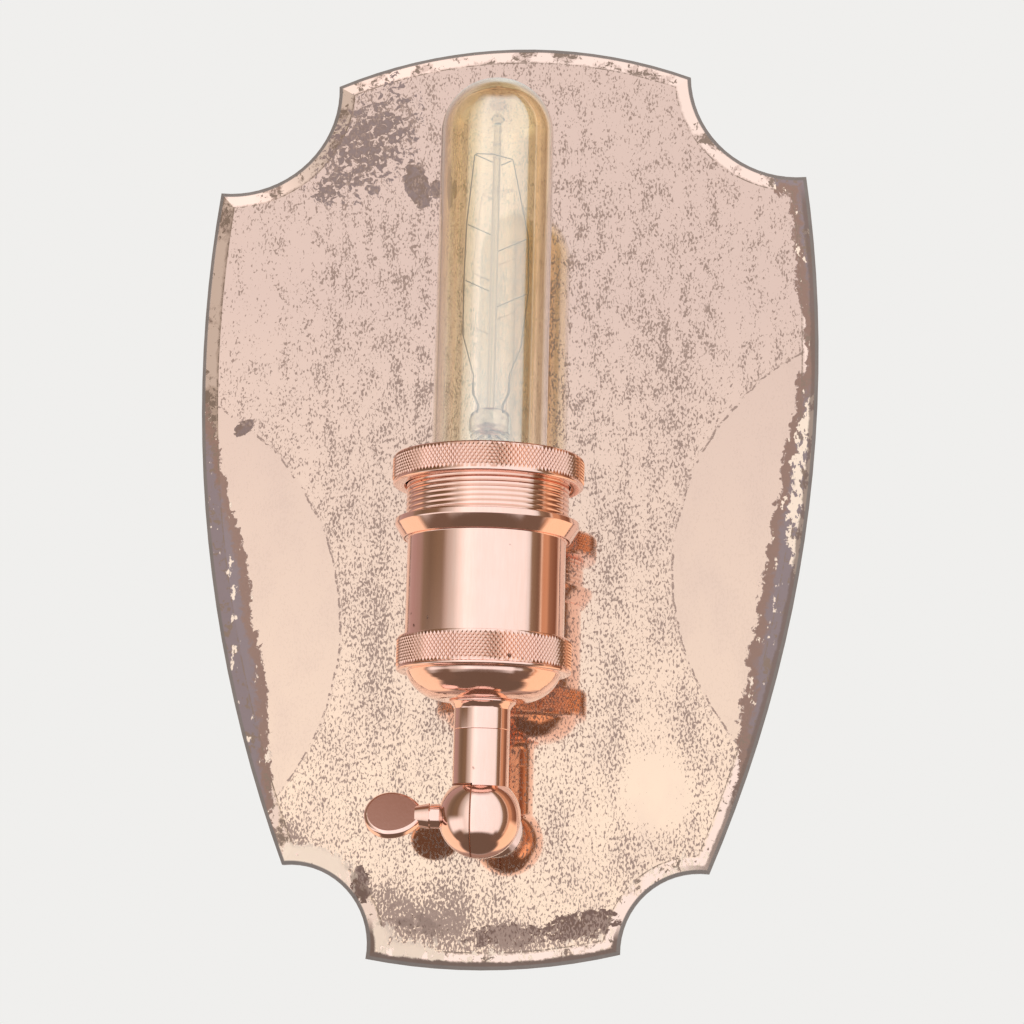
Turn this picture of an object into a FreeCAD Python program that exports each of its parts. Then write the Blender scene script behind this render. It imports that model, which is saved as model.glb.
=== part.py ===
# Mirrored wall light: a bevelled shield mirror on a battened back panel, with a bare tubular lamp
# in a copper-plated lampholder that tilts on a split-ball knuckle in front of the glass.
# Frame: +Z up, +X to the viewer's right, the wall is the plane Y = 0 and the light faces -Y.
# The origin lies on the wall, midway between the two keyholes of the hanging strap.
import FreeCAD, Part
import math
import os
import re

import Sketcher
from FreeCAD import Placement, Rotation, Vector

SIZES = {
    # Mirror outline: corners from the hanging line and the depth of each arc between them, with the
    # hand-cut left side a little lower and more deeply scooped
    "top_corner_x": 51.7,
    "top_corner_rise": 58.4,
    "left_top_corner_sag": 3.1,
    "top_arc_rise": 10.08,
    "horn_x": 85.4,
    "horn_rise": 28.3,
    "left_horn_sag": 5.9,
    "top_scoop_depth": 9.78,
    "left_top_scoop_extra": 1.06,
    "side_bulge": 13.63,
    "left_side_flattening": 0.8,
    "lower_horn_x": 59.5,
    "lower_horn_drop": 172.5,
    "lower_scoop_depth": 7.51,
    "left_lower_scoop_extra": 1.21,
    "foot_corner_x": 35.2,
    "foot_corner_drop": 195,
    "left_foot_sag": 2.8,
    "foot_arc_drop": 3.67,
    "glass_thickness": 5,
    "bevel_width": 5,
    "bevel_depth": 1.6,
    "glass_hole_radius": 6.2,
    # Back panel and its battens
    "panel_thickness": 6,
    "panel_inset": 8,
    "batten_thickness": 14,
    "batten_width": 12,
    "stile_inner_x": 38,
    "stile_rise": 24,
    "stile_drop": 158,
    "top_rail_half": 48,
    "bottom_rail_half": 26,
    "bottom_rail_lap": 1,
    # Hanging strap
    "keyhole_spacing": 60,
    "keyhole_radius": 4.5,
    "keyslot_radius": 2.3,
    "keyslot_rise": 10,
    "strap_height": 32,
    "strap_thickness": 2,
    "strap_lap": 9,
    "strap_screw_spacing": 16,
    "strap_screw_radius": 1.6,
    "strap_screw_head_radius": 3.2,
    "strap_screw_length": 10,
    # Hollow arm through the glass
    "arm_drop": 161.7,
    "arm_reach": 60,
    "nipple_radius": 5,
    "nipple_bore_radius": 3.6,
    "nipple_engagement": 10,
    "nipple_projection": 1.1,
    "gasket_thickness": 1,
    "gasket_radius": 7.4,
    "standoff_radius": 6.2,
    "standoff_flange_radius": 7.6,
    "standoff_flange_height": 2,
    "washer_radius": 11,
    "washer_thickness": 1.5,
    "earth_tag_radius": 7.5,
    "earth_tag_thickness": 0.6,
    "earth_tab_width": 5,
    "earth_tab_rise": 15,
    "earth_barrel_radius": 1.5,
    "earth_barrel_length": 5,
    "lock_washer_radius": 7.5,
    "lock_washer_thickness": 0.8,
    "nut_across_flats": 14,
    "nut_height": 4,
    "thread_clearance": 0.05,
    # Terminal block and wires behind the panel
    "block_rise": 28,
    "block_height": 16,
    "block_depth": 11,
    "block_base_depth": 4,
    "block_lug_clearance": 0.3,
    "block_lug_margin": 0.4,
    "pole_pitch": 9.6,
    "pole_width": 8.2,
    "insert_radius": 2.25,
    "insert_bore_radius": 1.5,
    "insert_depth": 6,
    "insert_inset": 1,
    "clamp_screw_radius": 1.4,
    "clamp_screw_length": 2.4,
    "clamp_screw_offset": 4.2,
    "block_screw_radius": 1.3,
    "block_screw_head_radius": 2.4,
    "block_screw_head_height": 1.8,
    "block_screw_length": 9,
    "wire_radius": 1,
    "wire_offset": 1.4,
    "wire_side": 3.1,
    "wire_stop": 8.6,
    "wire_jog_ahead": 2,
    "wire_jog_behind": 0.3,
    "wire_loop_depth": 3,
    "wire_loop_side": 6.2,
    "wire_entry_drop": 6.2,
    "wire_bend": 5,
    "head_wire_bend": 4,
    "head_wire_lift": 0.8,
    "head_wire_turn_rise": 5.1,
    "earth_wire_bend": 3,
    "earth_wire_lift": 2.5,
    "earth_wire_entry": 2,
    # Split-ball knuckle
    "ball_radius": 10.55,
    "ball_cavity_radius": 8.2,
    "seam_offset": 1.75,
    "seam_gap": 0.4,
    "joint_clearance": 0.35,
    "boss_radius": 3.6,
    "boss_clearance": 0.4,
    "stem_radius": 7.2,
    "stem_length": 22,
    "rear_shank_radius": 6.2,
    "rear_shank_length": 22,
    "passage_radius": 4,
    "rear_passage_radius": 4.6,
    # Thumbscrew
    "screw_radius": 2,
    "screw_clearance": 0.1,
    "screw_reach": 6.5,
    "spot_depth": 0.5,
    "spot_clearance": 0.3,
    "collar_radius": 3.1,
    "collar_length": 2.3,
    "groove_radius": 2.3,
    "groove_length": 0.4,
    "neck_radius": 3.3,
    "neck_tip_radius": 2.5,
    "neck_length": 3.6,
    "paddle_start": 15.2,
    "paddle_end": 29.5,
    "paddle_half_width": 6.7,
    "paddle_root_half": 2.5,
    "paddle_side_radius": 9.5,
    "paddle_thickness": 2.8,
    "paddle_rounding": 0.9,
    # Lampholder
    "coupling_length": 7.6,
    "coupling_tube_length": 5.4,
    "coupling_flange_radius": 8.6,
    "dome_foot_radius": 9,
    "dome_top_radius": 20,
    "dome_height": 7,
    "dome_arc_radius": 13,
    "dome_inner_arc_radius": 11,
    "cap_floor": 1.8,
    "cap_floor_radius": 9.4,
    "cap_cavity_radius": 17.4,
    "cap_cavity_drop": 1.8,
    "cap_ring_radius": 22.6,
    "cap_ring_height": 8.9,
    "cap_lip": 0.7,
    "cap_seat_rise": 2,
    "barrel_radius": 20.55,
    "barrel_length": 32.6,
    "shade_thread_radius": 21.2,
    "shade_thread_length": 20.8,
    "barrel_lip": 0.9,
    "core_radius": 18.5,
    "core_clearance": 0.2,
    "core_height": 40.4,
    "core_cavity_radius": 14,
    "core_cavity_depth": 11.4,
    "core_floor": 4,
    "shell_wall": 0.6,
    "shell_height": 24.5,
    "shell_base_radius": 9,
    "shell_clearance": 0.3,
    "contact_rise": 2.4,
    "contact_thickness": 0.4,
    "contact_width": 6,
    "contact_half_length": 8,
    "contact_gap": 0.1,
    "holder_screw_x": 8,
    "holder_screw_radius": 1.5,
    "holder_screw_head_radius": 3,
    "holder_screw_head_height": 2.2,
    "holder_screw_length": 3.5,
    # Shade rings
    "seat_ring_radius": 23.9,
    "seat_ring_height": 4.9,
    "seat_ring_rim": 1.4,
    "seat_ring_foot": 0.4,
    "shade_gap": 9.1,
    "clamp_ring_radius": 25,
    "clamp_ring_height": 7.6,
    "ring_edge": 0.5,
    "ring_clearance": 0.15,
    # Tubular lamp
    "bulb_length": 140,
    "bulb_radius": 15,
    "bulb_wall": 1,
    "bulb_contact_radius": 4.8,
    "bulb_contact_height": 1,
    "insulator_height": 3,
    "insulator_radius": 10.8,
    "bulb_thread_radius": 13.1,
    "bulb_cap_height": 23,
    "bulb_cap_shoulder": 2,
    "bulb_cap_wall": 0.4,
    "bulb_neck_length": 5.5,
    "bulb_neck_lap": 4.5,
    "bulb_flare_length": 7,
    "seal_clearance": 0.1,
    "stem_flare_height": 11,
    "stem_press_radius": 4.2,
    "stem_press_height": 24.5,
    "stem_press_cone": 3,
    "stem_hollow_height": 19,
    "stem_wall": 1,
    "rod_radius": 1,
    "rod_length": 77.5,
    "rod_bead_radius": 1.9,
    "rod_bead_height": 3,
    # Leads, filament and its supports: distances from the rod, heights above the press
    "lead_radius": 0.3,
    "lead_bend": 1.8,
    "lead_foot_x": 3.2,
    "lead_foot_drop": 1.55,
    "lead_bend_foot": 0.7,
    "lead_bend_top": 4.1,
    "lead_top_x": 4.7,
    "lead_rise": 6.8,
    "filament_radius": 0.15,
    "filament_bend": 0.75,
    "filament_clamp": 2,
    "left_foot_x": 7.8,
    "left_foot_rise": 19.8,
    "left_lower_support_x": 7.9,
    "left_lower_support_rise": 34.9,
    "left_upper_support_x": 7.6,
    "left_upper_support_rise": 50.2,
    "left_hook_x": 5.95,
    "left_hook_rise": 69.5,
    "bow_x": 0.8,
    "bow_ahead": 1.6,
    "bow_rise": 68.8,
    "right_hook_x": 4.3,
    "right_hook_rise": 67.9,
    "right_upper_support_x": 8.9,
    "right_upper_support_rise": 46.3,
    "right_lower_support_x": 9.25,
    "right_lower_support_rise": 31.3,
    "right_foot_x": 7.6,
    "right_foot_rise": 16.3,
    "support_radius": 0.15,
    "support_gap": 0.4,
    "support_bend": 0.15,
}

doc = FreeCAD.newDocument("mirrored_wall_light")
sheet = doc.addObject("Spreadsheet::Sheet", "Sizes")
for row, (name, size) in enumerate(SIZES.items(), start=1):
    sheet.set(f"A{row}", name)
    sheet.set(f"B{row}", str(size))
    sheet.setAlias(f"B{row}", name)
doc.recompute()

# Local Z of a turned piece: away from the wall, towards the wall, or to the left
FORWARD = Rotation(Vector(1, 0, 0), 90)
BACKWARD = Rotation(Vector(1, 0, 0), -90)
LEFTWARD = Rotation(Vector(0, 1, 0), -90)
UPRIGHT = Rotation()

nodes = []


def ref(text):
    """Turns the size names in a formula into references to the sheet."""
    return re.sub(r"[a-z][a-z_]+", lambda word: f"Sizes.{word[0]}" if word[0] in SIZES else word[0], text)


def number(text):
    """The present value of a formula."""
    return float(sheet.evalExpression(ref(text)))


def bind(item, **sizes):
    """Ties an item's properties to formulas."""
    for prop, text in sizes.items():
        item.setExpression(prop, ref(text))
    return item


def put(item, x="0", y="0", z="0", turn=UPRIGHT):
    """Places an item at a point given by formulas."""
    item.Placement = Placement(Vector(), turn)
    for axis, text in zip("xyz", (x, y, z)):
        item.setExpression(f"Placement.Base.{axis}", ref(text))
    return item


def node(label, item):
    """Names a finished piece."""
    item.Label = label
    nodes.append(item)
    return item


def block(x, y, z, length, width, height):
    """A box from its lowest corner."""
    box = doc.addObject("Part::Box", "block")
    return put(bind(box, Length=length, Width=width, Height=height), x, y, z)


def rod(radius, length, x="0", y="0", z="0", turn=UPRIGHT):
    """A cylinder from the middle of its foot."""
    cylinder = doc.addObject("Part::Cylinder", "rod")
    return put(bind(cylinder, Radius=radius, Height=length), x, y, z, turn)


def cone(foot, top, length, x="0", y="0", z="0", turn=UPRIGHT):
    """A cut cone from the middle of its foot."""
    taper = doc.addObject("Part::Cone", "cone")
    return put(bind(taper, Radius1=foot, Radius2=top, Height=length), x, y, z, turn)


def ball(radius):
    """A ball about the tilt axis."""
    return bind(doc.addObject("Part::Sphere", "ball"), Radius=radius)


def fuse(*items):
    """Joins items into one."""
    joined = doc.addObject("Part::MultiFuse", "fuse")
    joined.Shapes = list(items)
    return joined


def cut(base, *tools):
    """Takes the tools away from the base."""
    rest = doc.addObject("Part::Cut", "cut")
    rest.Base = base
    rest.Tool = tools[0] if len(tools) == 1 else fuse(*tools)
    return rest


def common(first, second):
    """What two items share."""
    shared = doc.addObject("Part::Common", "common")
    shared.Base = first
    shared.Tool = second
    return shared


def group(items):
    """Like pieces that stay separate solids under one name."""
    compound = doc.addObject("Part::Compound", "group")
    compound.Links = items
    return compound


def arc_edge(start, end, radius, bulge):
    """The arc from start to end that bulges to the right of the way there (1) or to the left (-1)."""
    chord = end - start
    right = Vector(chord.y, -chord.x, 0).normalize()
    rise = math.sqrt(radius ** 2 - (chord.Length / 2) ** 2)
    centre = (start + end) / 2 - right * (bulge * rise)
    angles = [math.atan2(end_point.y - centre.y, end_point.x - centre.x) for end_point in (start, end)]
    if bulge < 0:
        angles.reverse()
    return Part.ArcOfCircle(Part.Circle(centre, Vector(0, 0, 1), radius), *angles)


def draw(sketch, corners, arcs):
    """Draws a closed outline: corners are (x, y) formulas, arcs map an edge to (radius, bulge)."""
    count = len(corners)
    spots = [Vector(number(x), number(y), 0) for x, y in corners]
    ends = []
    for edge in range(count):
        start = spots[edge]
        end = spots[(edge + 1) % count]
        if edge in arcs:
            radius, bulge = arcs[edge]
            sketch.addGeometry(arc_edge(start, end, number(radius), bulge))
            ends.append((1, 2) if bulge > 0 else (2, 1))
        else:
            sketch.addGeometry(Part.LineSegment(start, end))
            ends.append((1, 2))
    for edge in range(count):
        following = (edge + 1) % count
        sketch.addConstraint(
            Sketcher.Constraint("Coincident", edge, ends[edge][1], following, ends[following][0])
        )
    for edge, corner in enumerate(corners):
        first = ends[edge][0]
        for kind, axis, text in zip(("DistanceX", "DistanceY"), (-2, -1), corner):
            if text == "0":
                sketch.addConstraint(Sketcher.Constraint("PointOnObject", edge, first, axis))
                continue
            rule = sketch.addConstraint(Sketcher.Constraint(kind, -1, 1, edge, first, number(text)))
            sketch.setExpression(f"Constraints[{rule}]", ref(text))
    for edge, (radius, bulge) in arcs.items():
        rule = sketch.addConstraint(Sketcher.Constraint("Radius", edge, number(radius)))
        sketch.setExpression(f"Constraints[{rule}]", ref(radius))


def body_sketch(body, corners, arcs):
    """A closed outline on the body's own upright plane: x across, y along the body's Z."""
    plane = [item for item in body.Origin.OriginFeatures if item.Role == "XZ_Plane"][0]
    sketch = body.newObject("Sketcher::SketchObject", "outline")
    sketch.AttachmentSupport = (plane, [""])
    sketch.MapMode = "FlatFace"
    draw(sketch, corners, arcs)
    return sketch


def revolve(body, corners, arcs=None):
    """Adds a (radius, height) profile, turned about the body's Z axis."""
    sketch = body_sketch(body, corners, arcs or {})
    revolution = body.newObject("PartDesign::Revolution", "revolution")
    revolution.Profile = sketch
    revolution.ReferenceAxis = (sketch, ["V_Axis"])
    revolution.Angle = 360
    return body


def plate(body, corners, arcs, thickness):
    """Adds a flat outline, thickened to both sides of the body's upright plane."""
    pad = body.newObject("PartDesign::Pad", "pad")
    pad.Profile = body_sketch(body, corners, arcs)
    pad.SideType = "Symmetric"
    return bind(pad, Length=thickness)


def turned(label, corners, arcs=None):
    """A lathe-turned piece from its (radius, height) profile."""
    return node(label, revolve(doc.addObject("PartDesign::Body", label), corners, arcs))


def ring(label, inner, outer, foot, top):
    """A plain turned ring or sleeve."""
    return turned(label, [(inner, foot), (outer, foot), (outer, top), (inner, top)])


def tube_along(points, radius, bend):
    """A round wire along straight runs, joined by arcs of the bend radius where the runs allow it."""
    edges = []
    start = points[0]
    for before, corner, after in zip(points, points[1:], points[2:]):
        arriving = (corner - before).normalize()
        leaving = (after - corner).normalize()
        half_turn = arriving.getAngle(leaving) / 2
        longest_setback = 0.45 * min((corner - before).Length, (after - corner).Length)
        setback = min(bend * math.tan(half_turn), longest_setback)
        arc_radius = setback / math.tan(half_turn)
        inward = (leaving - arriving).normalize()
        peak = corner + inward * (arc_radius * (1 / math.cos(half_turn) - 1))
        arc_start = corner - arriving * setback
        arc_end = corner + leaving * setback
        edges.append(Part.LineSegment(start, arc_start).toShape())
        edges.append(Part.Arc(arc_start, peak, arc_end).toShape())
        start = arc_end
    edges.append(Part.LineSegment(start, points[-1]).toShape())
    path = Part.Wire(edges)
    section = Part.Wire(Part.Circle(points[0], points[1] - points[0], radius).toShape())
    tube = path.makePipeShell([section], True, False)
    if abs(tube.Volume / (math.pi * radius ** 2 * path.Length) - 1) > 0.02:
        raise ValueError("a wire's volume is not its section times its length")
    return tube


def wires(label, routes, radius, bend):
    """One or more wires along routes of (x, y, z) formulas, as one piece."""
    tubes = []
    for route in routes:
        points = [Vector(*(number(text) for text in point)) for point in route]
        tubes.append(tube_along(points, number(radius), number(bend)))
    item = doc.addObject("Part::Feature", label)
    item.Shape = tubes[0] if len(tubes) == 1 else Part.makeCompound(tubes)
    return node(label, item)


# Main stations: distances from the wall, and heights above the tilt axis
BOARD = "batten_thickness + panel_thickness"
FRONT = f"{BOARD} + glass_thickness"
PIVOT_Y = f"-({FRONT} + arm_reach)"
PIVOT_Z = "-arm_drop"
ARM_END = f"{FRONT} + arm_reach - rear_shank_length"


def on_arm(item):
    """Puts a turned piece on the arm, its heights measured from the wall."""
    return put(item, z=PIVOT_Z, turn=FORWARD)


def on_head(item, turn=UPRIGHT):
    """Puts a piece on the tilting head, its heights measured from the tilt axis."""
    return put(item, y=PIVOT_Y, z=PIVOT_Z, turn=turn)


# Mirror: eight arcs, convex at the top, sides and foot, with a scooped notch between each pair
SHIELD_CORNERS = [
    ("top_corner_x", "top_corner_rise"),
    ("-top_corner_x", "top_corner_rise - left_top_corner_sag"),
    ("-horn_x", "horn_rise - left_horn_sag"),
    ("-lower_horn_x", "-lower_horn_drop"),
    ("-foot_corner_x", "-foot_corner_drop - left_foot_sag"),
    ("foot_corner_x", "-foot_corner_drop"),
    ("lower_horn_x", "-lower_horn_drop"),
    ("horn_x", "horn_rise"),
]
SHIELD_DEPTHS = [
    ("top_arc_rise", 1),
    ("top_scoop_depth + left_top_scoop_extra", -1),
    ("side_bulge - left_side_flattening", 1),
    ("lower_scoop_depth + left_lower_scoop_extra", -1),
    ("foot_arc_drop", 1),
    ("lower_scoop_depth", -1),
    ("side_bulge", 1),
    ("top_scoop_depth", -1),
]


def arc_radius(start, end, depth):
    """The radius of an arc from its two corners and its depth, as a formula."""
    across = f"({end[0]} - ({start[0]})) ^ 2"
    along = f"({end[1]} - ({start[1]})) ^ 2"
    return f"({across} + {along}) / (8 * ({depth})) + ({depth}) / 2"


SHIELD_ARCS = {}
for edge, (arc_depth, bulge) in enumerate(SHIELD_DEPTHS):
    next_corner = SHIELD_CORNERS[(edge + 1) % len(SHIELD_CORNERS)]
    SHIELD_ARCS[edge] = (arc_radius(SHIELD_CORNERS[edge], next_corner, arc_depth), bulge)


def shield(depth):
    """The mirror's outline at a distance from the wall."""
    sketch = doc.addObject("Sketcher::SketchObject", "shield")
    put(sketch, y=f"-({depth})", turn=FORWARD)
    draw(sketch, SHIELD_CORNERS, SHIELD_ARCS)
    return sketch


def inset(outline, amount):
    """An outline drawn in evenly from another."""
    smaller = doc.addObject("Part::Offset2D", "inset")
    smaller.Source = outline
    return bind(smaller, Value=f"-({amount})")


def slab(outline, thickness):
    """A plate of an outline, thickened away from the wall."""
    extrusion = doc.addObject("Part::Extrusion", "slab")
    extrusion.Base = outline
    extrusion.DirMode = "Normal"
    extrusion.Solid = True
    return bind(extrusion, LengthFwd=thickness)


bevel = doc.addObject("Part::Loft", "bevel")
bevel.Sections = [shield(f"{FRONT} - bevel_depth"), inset(shield(FRONT), "bevel_width")]
bevel.Solid = True
bevel.Ruled = True
flat_glass = slab(shield(BOARD), "glass_thickness - bevel_depth")
glass_hole = rod("glass_hole_radius", FRONT, z=PIVOT_Z, turn=FORWARD)
node("mirror_glass", cut(fuse(flat_glass, bevel), glass_hole))

# Back panel: plywood drawn in from the mirror's edge, drilled for the arm and the block's screws
BLOCK_LUG = "pole_pitch + pole_width / 2 + block_lug_clearance + block_screw_head_radius"
BLOCK_MIDDLE = f"{PIVOT_Z} + block_rise + block_height / 2"
panel_holes = [rod("nipple_radius + thread_clearance", FRONT, z=PIVOT_Z, turn=FORWARD)]
for lug_x in (f"-({BLOCK_LUG})", BLOCK_LUG):
    pilot = rod(
        "block_screw_radius + thread_clearance",
        "block_screw_length - block_base_depth + thread_clearance",
        lug_x,
        "-batten_thickness",
        BLOCK_MIDDLE,
        FORWARD,
    )
    panel_holes.append(pilot)
panel_outline = inset(shield("batten_thickness"), "panel_inset")
node("back_panel", cut(slab(panel_outline, "panel_thickness"), *panel_holes))

# Hanging strap: a steel bar let into the stiles, with a keyhole on each side of the middle
STRAP_HALF = "stile_inner_x + strap_lap"
STRAP_FOOT = "keyslot_rise / 2 - strap_height / 2"
STRAP_SCREW_X = "stile_inner_x + strap_lap / 2"
STRAP_WIDTH = f"2 * ({STRAP_HALF})"
STRAP_CORNER = (f"-({STRAP_HALF})", "-strap_thickness", STRAP_FOOT)
strap_bar = block(*STRAP_CORNER, STRAP_WIDTH, "strap_thickness", "strap_height")
strap_cuts = []
for side in ("-", ""):
    keyhole_x = f"{side}keyhole_spacing / 2"
    strap_cuts.append(rod("keyhole_radius", "strap_thickness", keyhole_x, turn=FORWARD))
    strap_cuts.append(rod("keyslot_radius", "strap_thickness", keyhole_x, z="keyslot_rise", turn=FORWARD))
    slot_corner = (f"{keyhole_x} - keyslot_radius", "-strap_thickness", "0")
    strap_cuts.append(block(*slot_corner, "2 * keyslot_radius", "strap_thickness", "keyslot_rise"))

strap_screws = []
stile_cuts = {"-": [], "": []}
for side in ("-", ""):
    for level in ("-", "+"):
        screw_x = f"{side}({STRAP_SCREW_X})"
        screw_z = f"keyslot_rise / 2 {level} strap_screw_spacing / 2"
        place = {"x": screw_x, "z": screw_z, "turn": FORWARD}
        pilot_radius = "strap_screw_radius + thread_clearance"
        head = cone("strap_screw_head_radius", "strap_screw_radius", "strap_thickness", **place)
        shank = rod("strap_screw_radius", "strap_screw_length", **place)
        strap_screws.append(fuse(head, shank))
        sink_radius = "strap_screw_head_radius + thread_clearance"
        strap_cuts.append(cone(sink_radius, pilot_radius, "strap_thickness", **place))
        stile_cuts[side].append(rod(pilot_radius, "strap_screw_length + thread_clearance", **place))
node("hanging_strap", cut(strap_bar, *strap_cuts))
node("strap_screws", group(strap_screws))

# Battens: two stiles rebated for the strap, a top rail across them and a bottom rail under the arm
strap_rebate = block(*STRAP_CORNER, STRAP_WIDTH, "strap_thickness", "strap_height")
STILE_LENGTH = "stile_drop + stile_rise"
for label, side, left_edge in (
    ("left_stile", "-", "-stile_inner_x - batten_width"),
    ("right_stile", "", "stile_inner_x"),
):
    stile_corner = (left_edge, "-batten_thickness", "-stile_drop")
    stile = block(*stile_corner, "batten_width", "batten_thickness", STILE_LENGTH)
    node(label, cut(stile, strap_rebate, *stile_cuts[side]))
for label, half, foot in (
    ("top_rail", "top_rail_half", "stile_rise"),
    ("bottom_rail", "bottom_rail_half", "-(foot_corner_drop - panel_inset + bottom_rail_lap)"),
):
    rail_corner = (f"-{half}", "-batten_thickness", foot)
    node(label, block(*rail_corner, f"2 * {half}", "batten_thickness", "batten_width"))

# Arm through the glass: hollow threaded nipple, bush, gasket and stand-off tube
WASHER_BACK = "batten_thickness - washer_thickness"
TAG_BACK = f"{WASHER_BACK} - earth_tag_thickness"
LOCK_BACK = f"{TAG_BACK} - lock_washer_thickness"
NUT_BACK = f"{LOCK_BACK} - nut_height"
NIPPLE_BACK = f"{NUT_BACK} - nipple_projection"
NIPPLE_HOLE = "nipple_radius + thread_clearance"
NIPPLE_FRONT = f"{ARM_END} + nipple_engagement"
on_arm(ring("wall_nipple", "nipple_bore_radius", "nipple_radius", NIPPLE_BACK, NIPPLE_FRONT))
on_arm(ring("glass_bush", NIPPLE_HOLE, "glass_hole_radius - thread_clearance", BOARD, FRONT))
on_arm(ring("glass_gasket", NIPPLE_HOLE, "gasket_radius", FRONT, f"{FRONT} + gasket_thickness"))
FLANGE_FOOT = f"{FRONT} + gasket_thickness"
standoff_profile = [
    (NIPPLE_HOLE, FLANGE_FOOT),
    ("standoff_flange_radius", FLANGE_FOOT),
    ("standoff_flange_radius", f"{FLANGE_FOOT} + standoff_flange_height / 2"),
    ("standoff_radius", f"{FLANGE_FOOT} + standoff_flange_height"),
    ("standoff_radius", ARM_END),
    (NIPPLE_HOLE, ARM_END),
]
on_arm(turned("standoff_tube", standoff_profile))

# What clamps the arm behind the panel: washer, earth tag, lock washer and nut
on_arm(ring("wall_washer", NIPPLE_HOLE, "washer_radius", WASHER_BACK, "batten_thickness"))
tag_plate = rod("earth_tag_radius", "earth_tag_thickness", y=f"-({TAG_BACK})", z=PIVOT_Z, turn=FORWARD)
tag_tab = block(
    "-earth_tab_width / 2",
    f"-({WASHER_BACK})",
    PIVOT_Z,
    "earth_tab_width",
    "earth_tag_thickness",
    "earth_tab_rise",
)
TAG_MIDDLE = f"{WASHER_BACK} - earth_tag_thickness / 2"
tag_barrel = rod(
    "earth_barrel_radius", "earth_barrel_length", y=f"-({TAG_MIDDLE})", z=f"{PIVOT_Z} + earth_tab_rise"
)
tag_hole = rod(NIPPLE_HOLE, FRONT, z=PIVOT_Z, turn=FORWARD)
node("earth_tag", cut(fuse(tag_plate, tag_tab, tag_barrel), tag_hole))
on_arm(ring("lock_washer", NIPPLE_HOLE, "lock_washer_radius", LOCK_BACK, TAG_BACK))


def hex_nut(foot):
    """A hexagon nut bored for the nipple, on its own Z axis."""
    hexagon = doc.addObject("Part::Prism", "hexagon")
    hexagon.Polygon = 6
    bind(hexagon, Circumradius="nut_across_flats / 2 / cos(30 deg)", Height="nut_height")
    put(hexagon, z=foot)
    return cut(hexagon, rod(NIPPLE_HOLE, "nut_height", z=foot))


on_arm(node("wall_nut", hex_nut(NUT_BACK)))

# Terminal block: a moulded base with two lugs and three towers, each round a brass insert
INSERT_Y = "-(batten_thickness - insert_depth)"
BLOCK_FOOT = f"{PIVOT_Z} + block_rise"
BLOCK_HALF = f"({BLOCK_LUG} + block_screw_head_radius + block_lug_margin)"
base_corner = (f"-{BLOCK_HALF}", "-batten_thickness", BLOCK_FOOT)
block_base = block(*base_corner, f"2 * {BLOCK_HALF}", "block_base_depth", "block_height")
towers = []
block_cuts = []
inserts = []
clamp_screws = []
for pole in ("-pole_pitch", "0", "pole_pitch"):
    tower_corner = (f"{pole} - pole_width / 2", "-batten_thickness", BLOCK_FOOT)
    towers.append(block(*tower_corner, "pole_width", "block_depth", "block_height"))
    block_cuts.append(rod("insert_radius + thread_clearance", "block_height", pole, INSERT_Y, BLOCK_FOOT))
    insert_foot = f"{BLOCK_FOOT} + insert_inset"
    insert_length = "block_height - 2 * insert_inset"
    sleeve = rod("insert_radius", insert_length, pole, INSERT_Y, insert_foot)
    inserts.append(cut(sleeve, rod("insert_bore_radius", insert_length, pole, INSERT_Y, insert_foot)))
    for level in ("-", "+"):
        screw_z = f"{BLOCK_MIDDLE} {level} clamp_screw_offset"
        well_radius = "clamp_screw_radius + thread_clearance"
        block_cuts.append(rod(well_radius, "insert_depth", pole, INSERT_Y, screw_z, BACKWARD))
        screw_foot = f"{INSERT_Y} + insert_radius"
        clamp_screws.append(
            rod("clamp_screw_radius", "clamp_screw_length", pole, screw_foot, screw_z, BACKWARD)
        )
block_screws = []
for lug_x in (f"-({BLOCK_LUG})", BLOCK_LUG):
    lug_face = "-(batten_thickness - block_base_depth)"
    place = {"x": lug_x, "y": lug_face, "z": BLOCK_MIDDLE}
    block_cuts.append(
        rod("block_screw_radius + thread_clearance", "block_base_depth", **place, turn=FORWARD)
    )
    screw_head = rod("block_screw_head_radius", "block_screw_head_height", **place, turn=BACKWARD)
    screw_shank = rod("block_screw_radius", "block_screw_length", **place, turn=FORWARD)
    block_screws.append(fuse(screw_head, screw_shank))
node("terminal_block", cut(fuse(block_base, *towers), *block_cuts))
node("terminal_inserts", group(inserts))
node("terminal_screws", group(clamp_screws))
node("block_screws", group(block_screws))

# Wires behind the knuckle: two run down the hollow arm and enter the ball on the rear half's side of
# the seam, the third earths the arm
WIRE_START = f"{PIVOT_Y} + wire_stop"
WIRE_BACK = "-wire_loop_depth"
NIPPLE_END = f"-({NIPPLE_FRONT})"
for label, side, level in (("live_wire", "-", "+"), ("neutral_wire", "", "-")):
    run_z = f"{PIVOT_Z} {level} wire_offset"
    wall_route = [
        ("-wire_side", WIRE_START, run_z),
        ("-wire_side", f"{NIPPLE_END} - wire_jog_ahead", run_z),
        ("-wire_offset", f"{NIPPLE_END} + wire_jog_behind", run_z),
        ("-wire_offset", WIRE_BACK, run_z),
        (f"{side}wire_loop_side", WIRE_BACK, f"{PIVOT_Z} + block_rise / 2"),
        (f"{side}pole_pitch", INSERT_Y, f"{BLOCK_FOOT} - wire_entry_drop"),
        (f"{side}pole_pitch", INSERT_Y, f"{BLOCK_FOOT} + insert_inset"),
    ]
    wires(label, [wall_route], "wire_radius", "wire_bend")
BARREL_TOP = f"{PIVOT_Z} + earth_tab_rise + earth_barrel_length"
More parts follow.
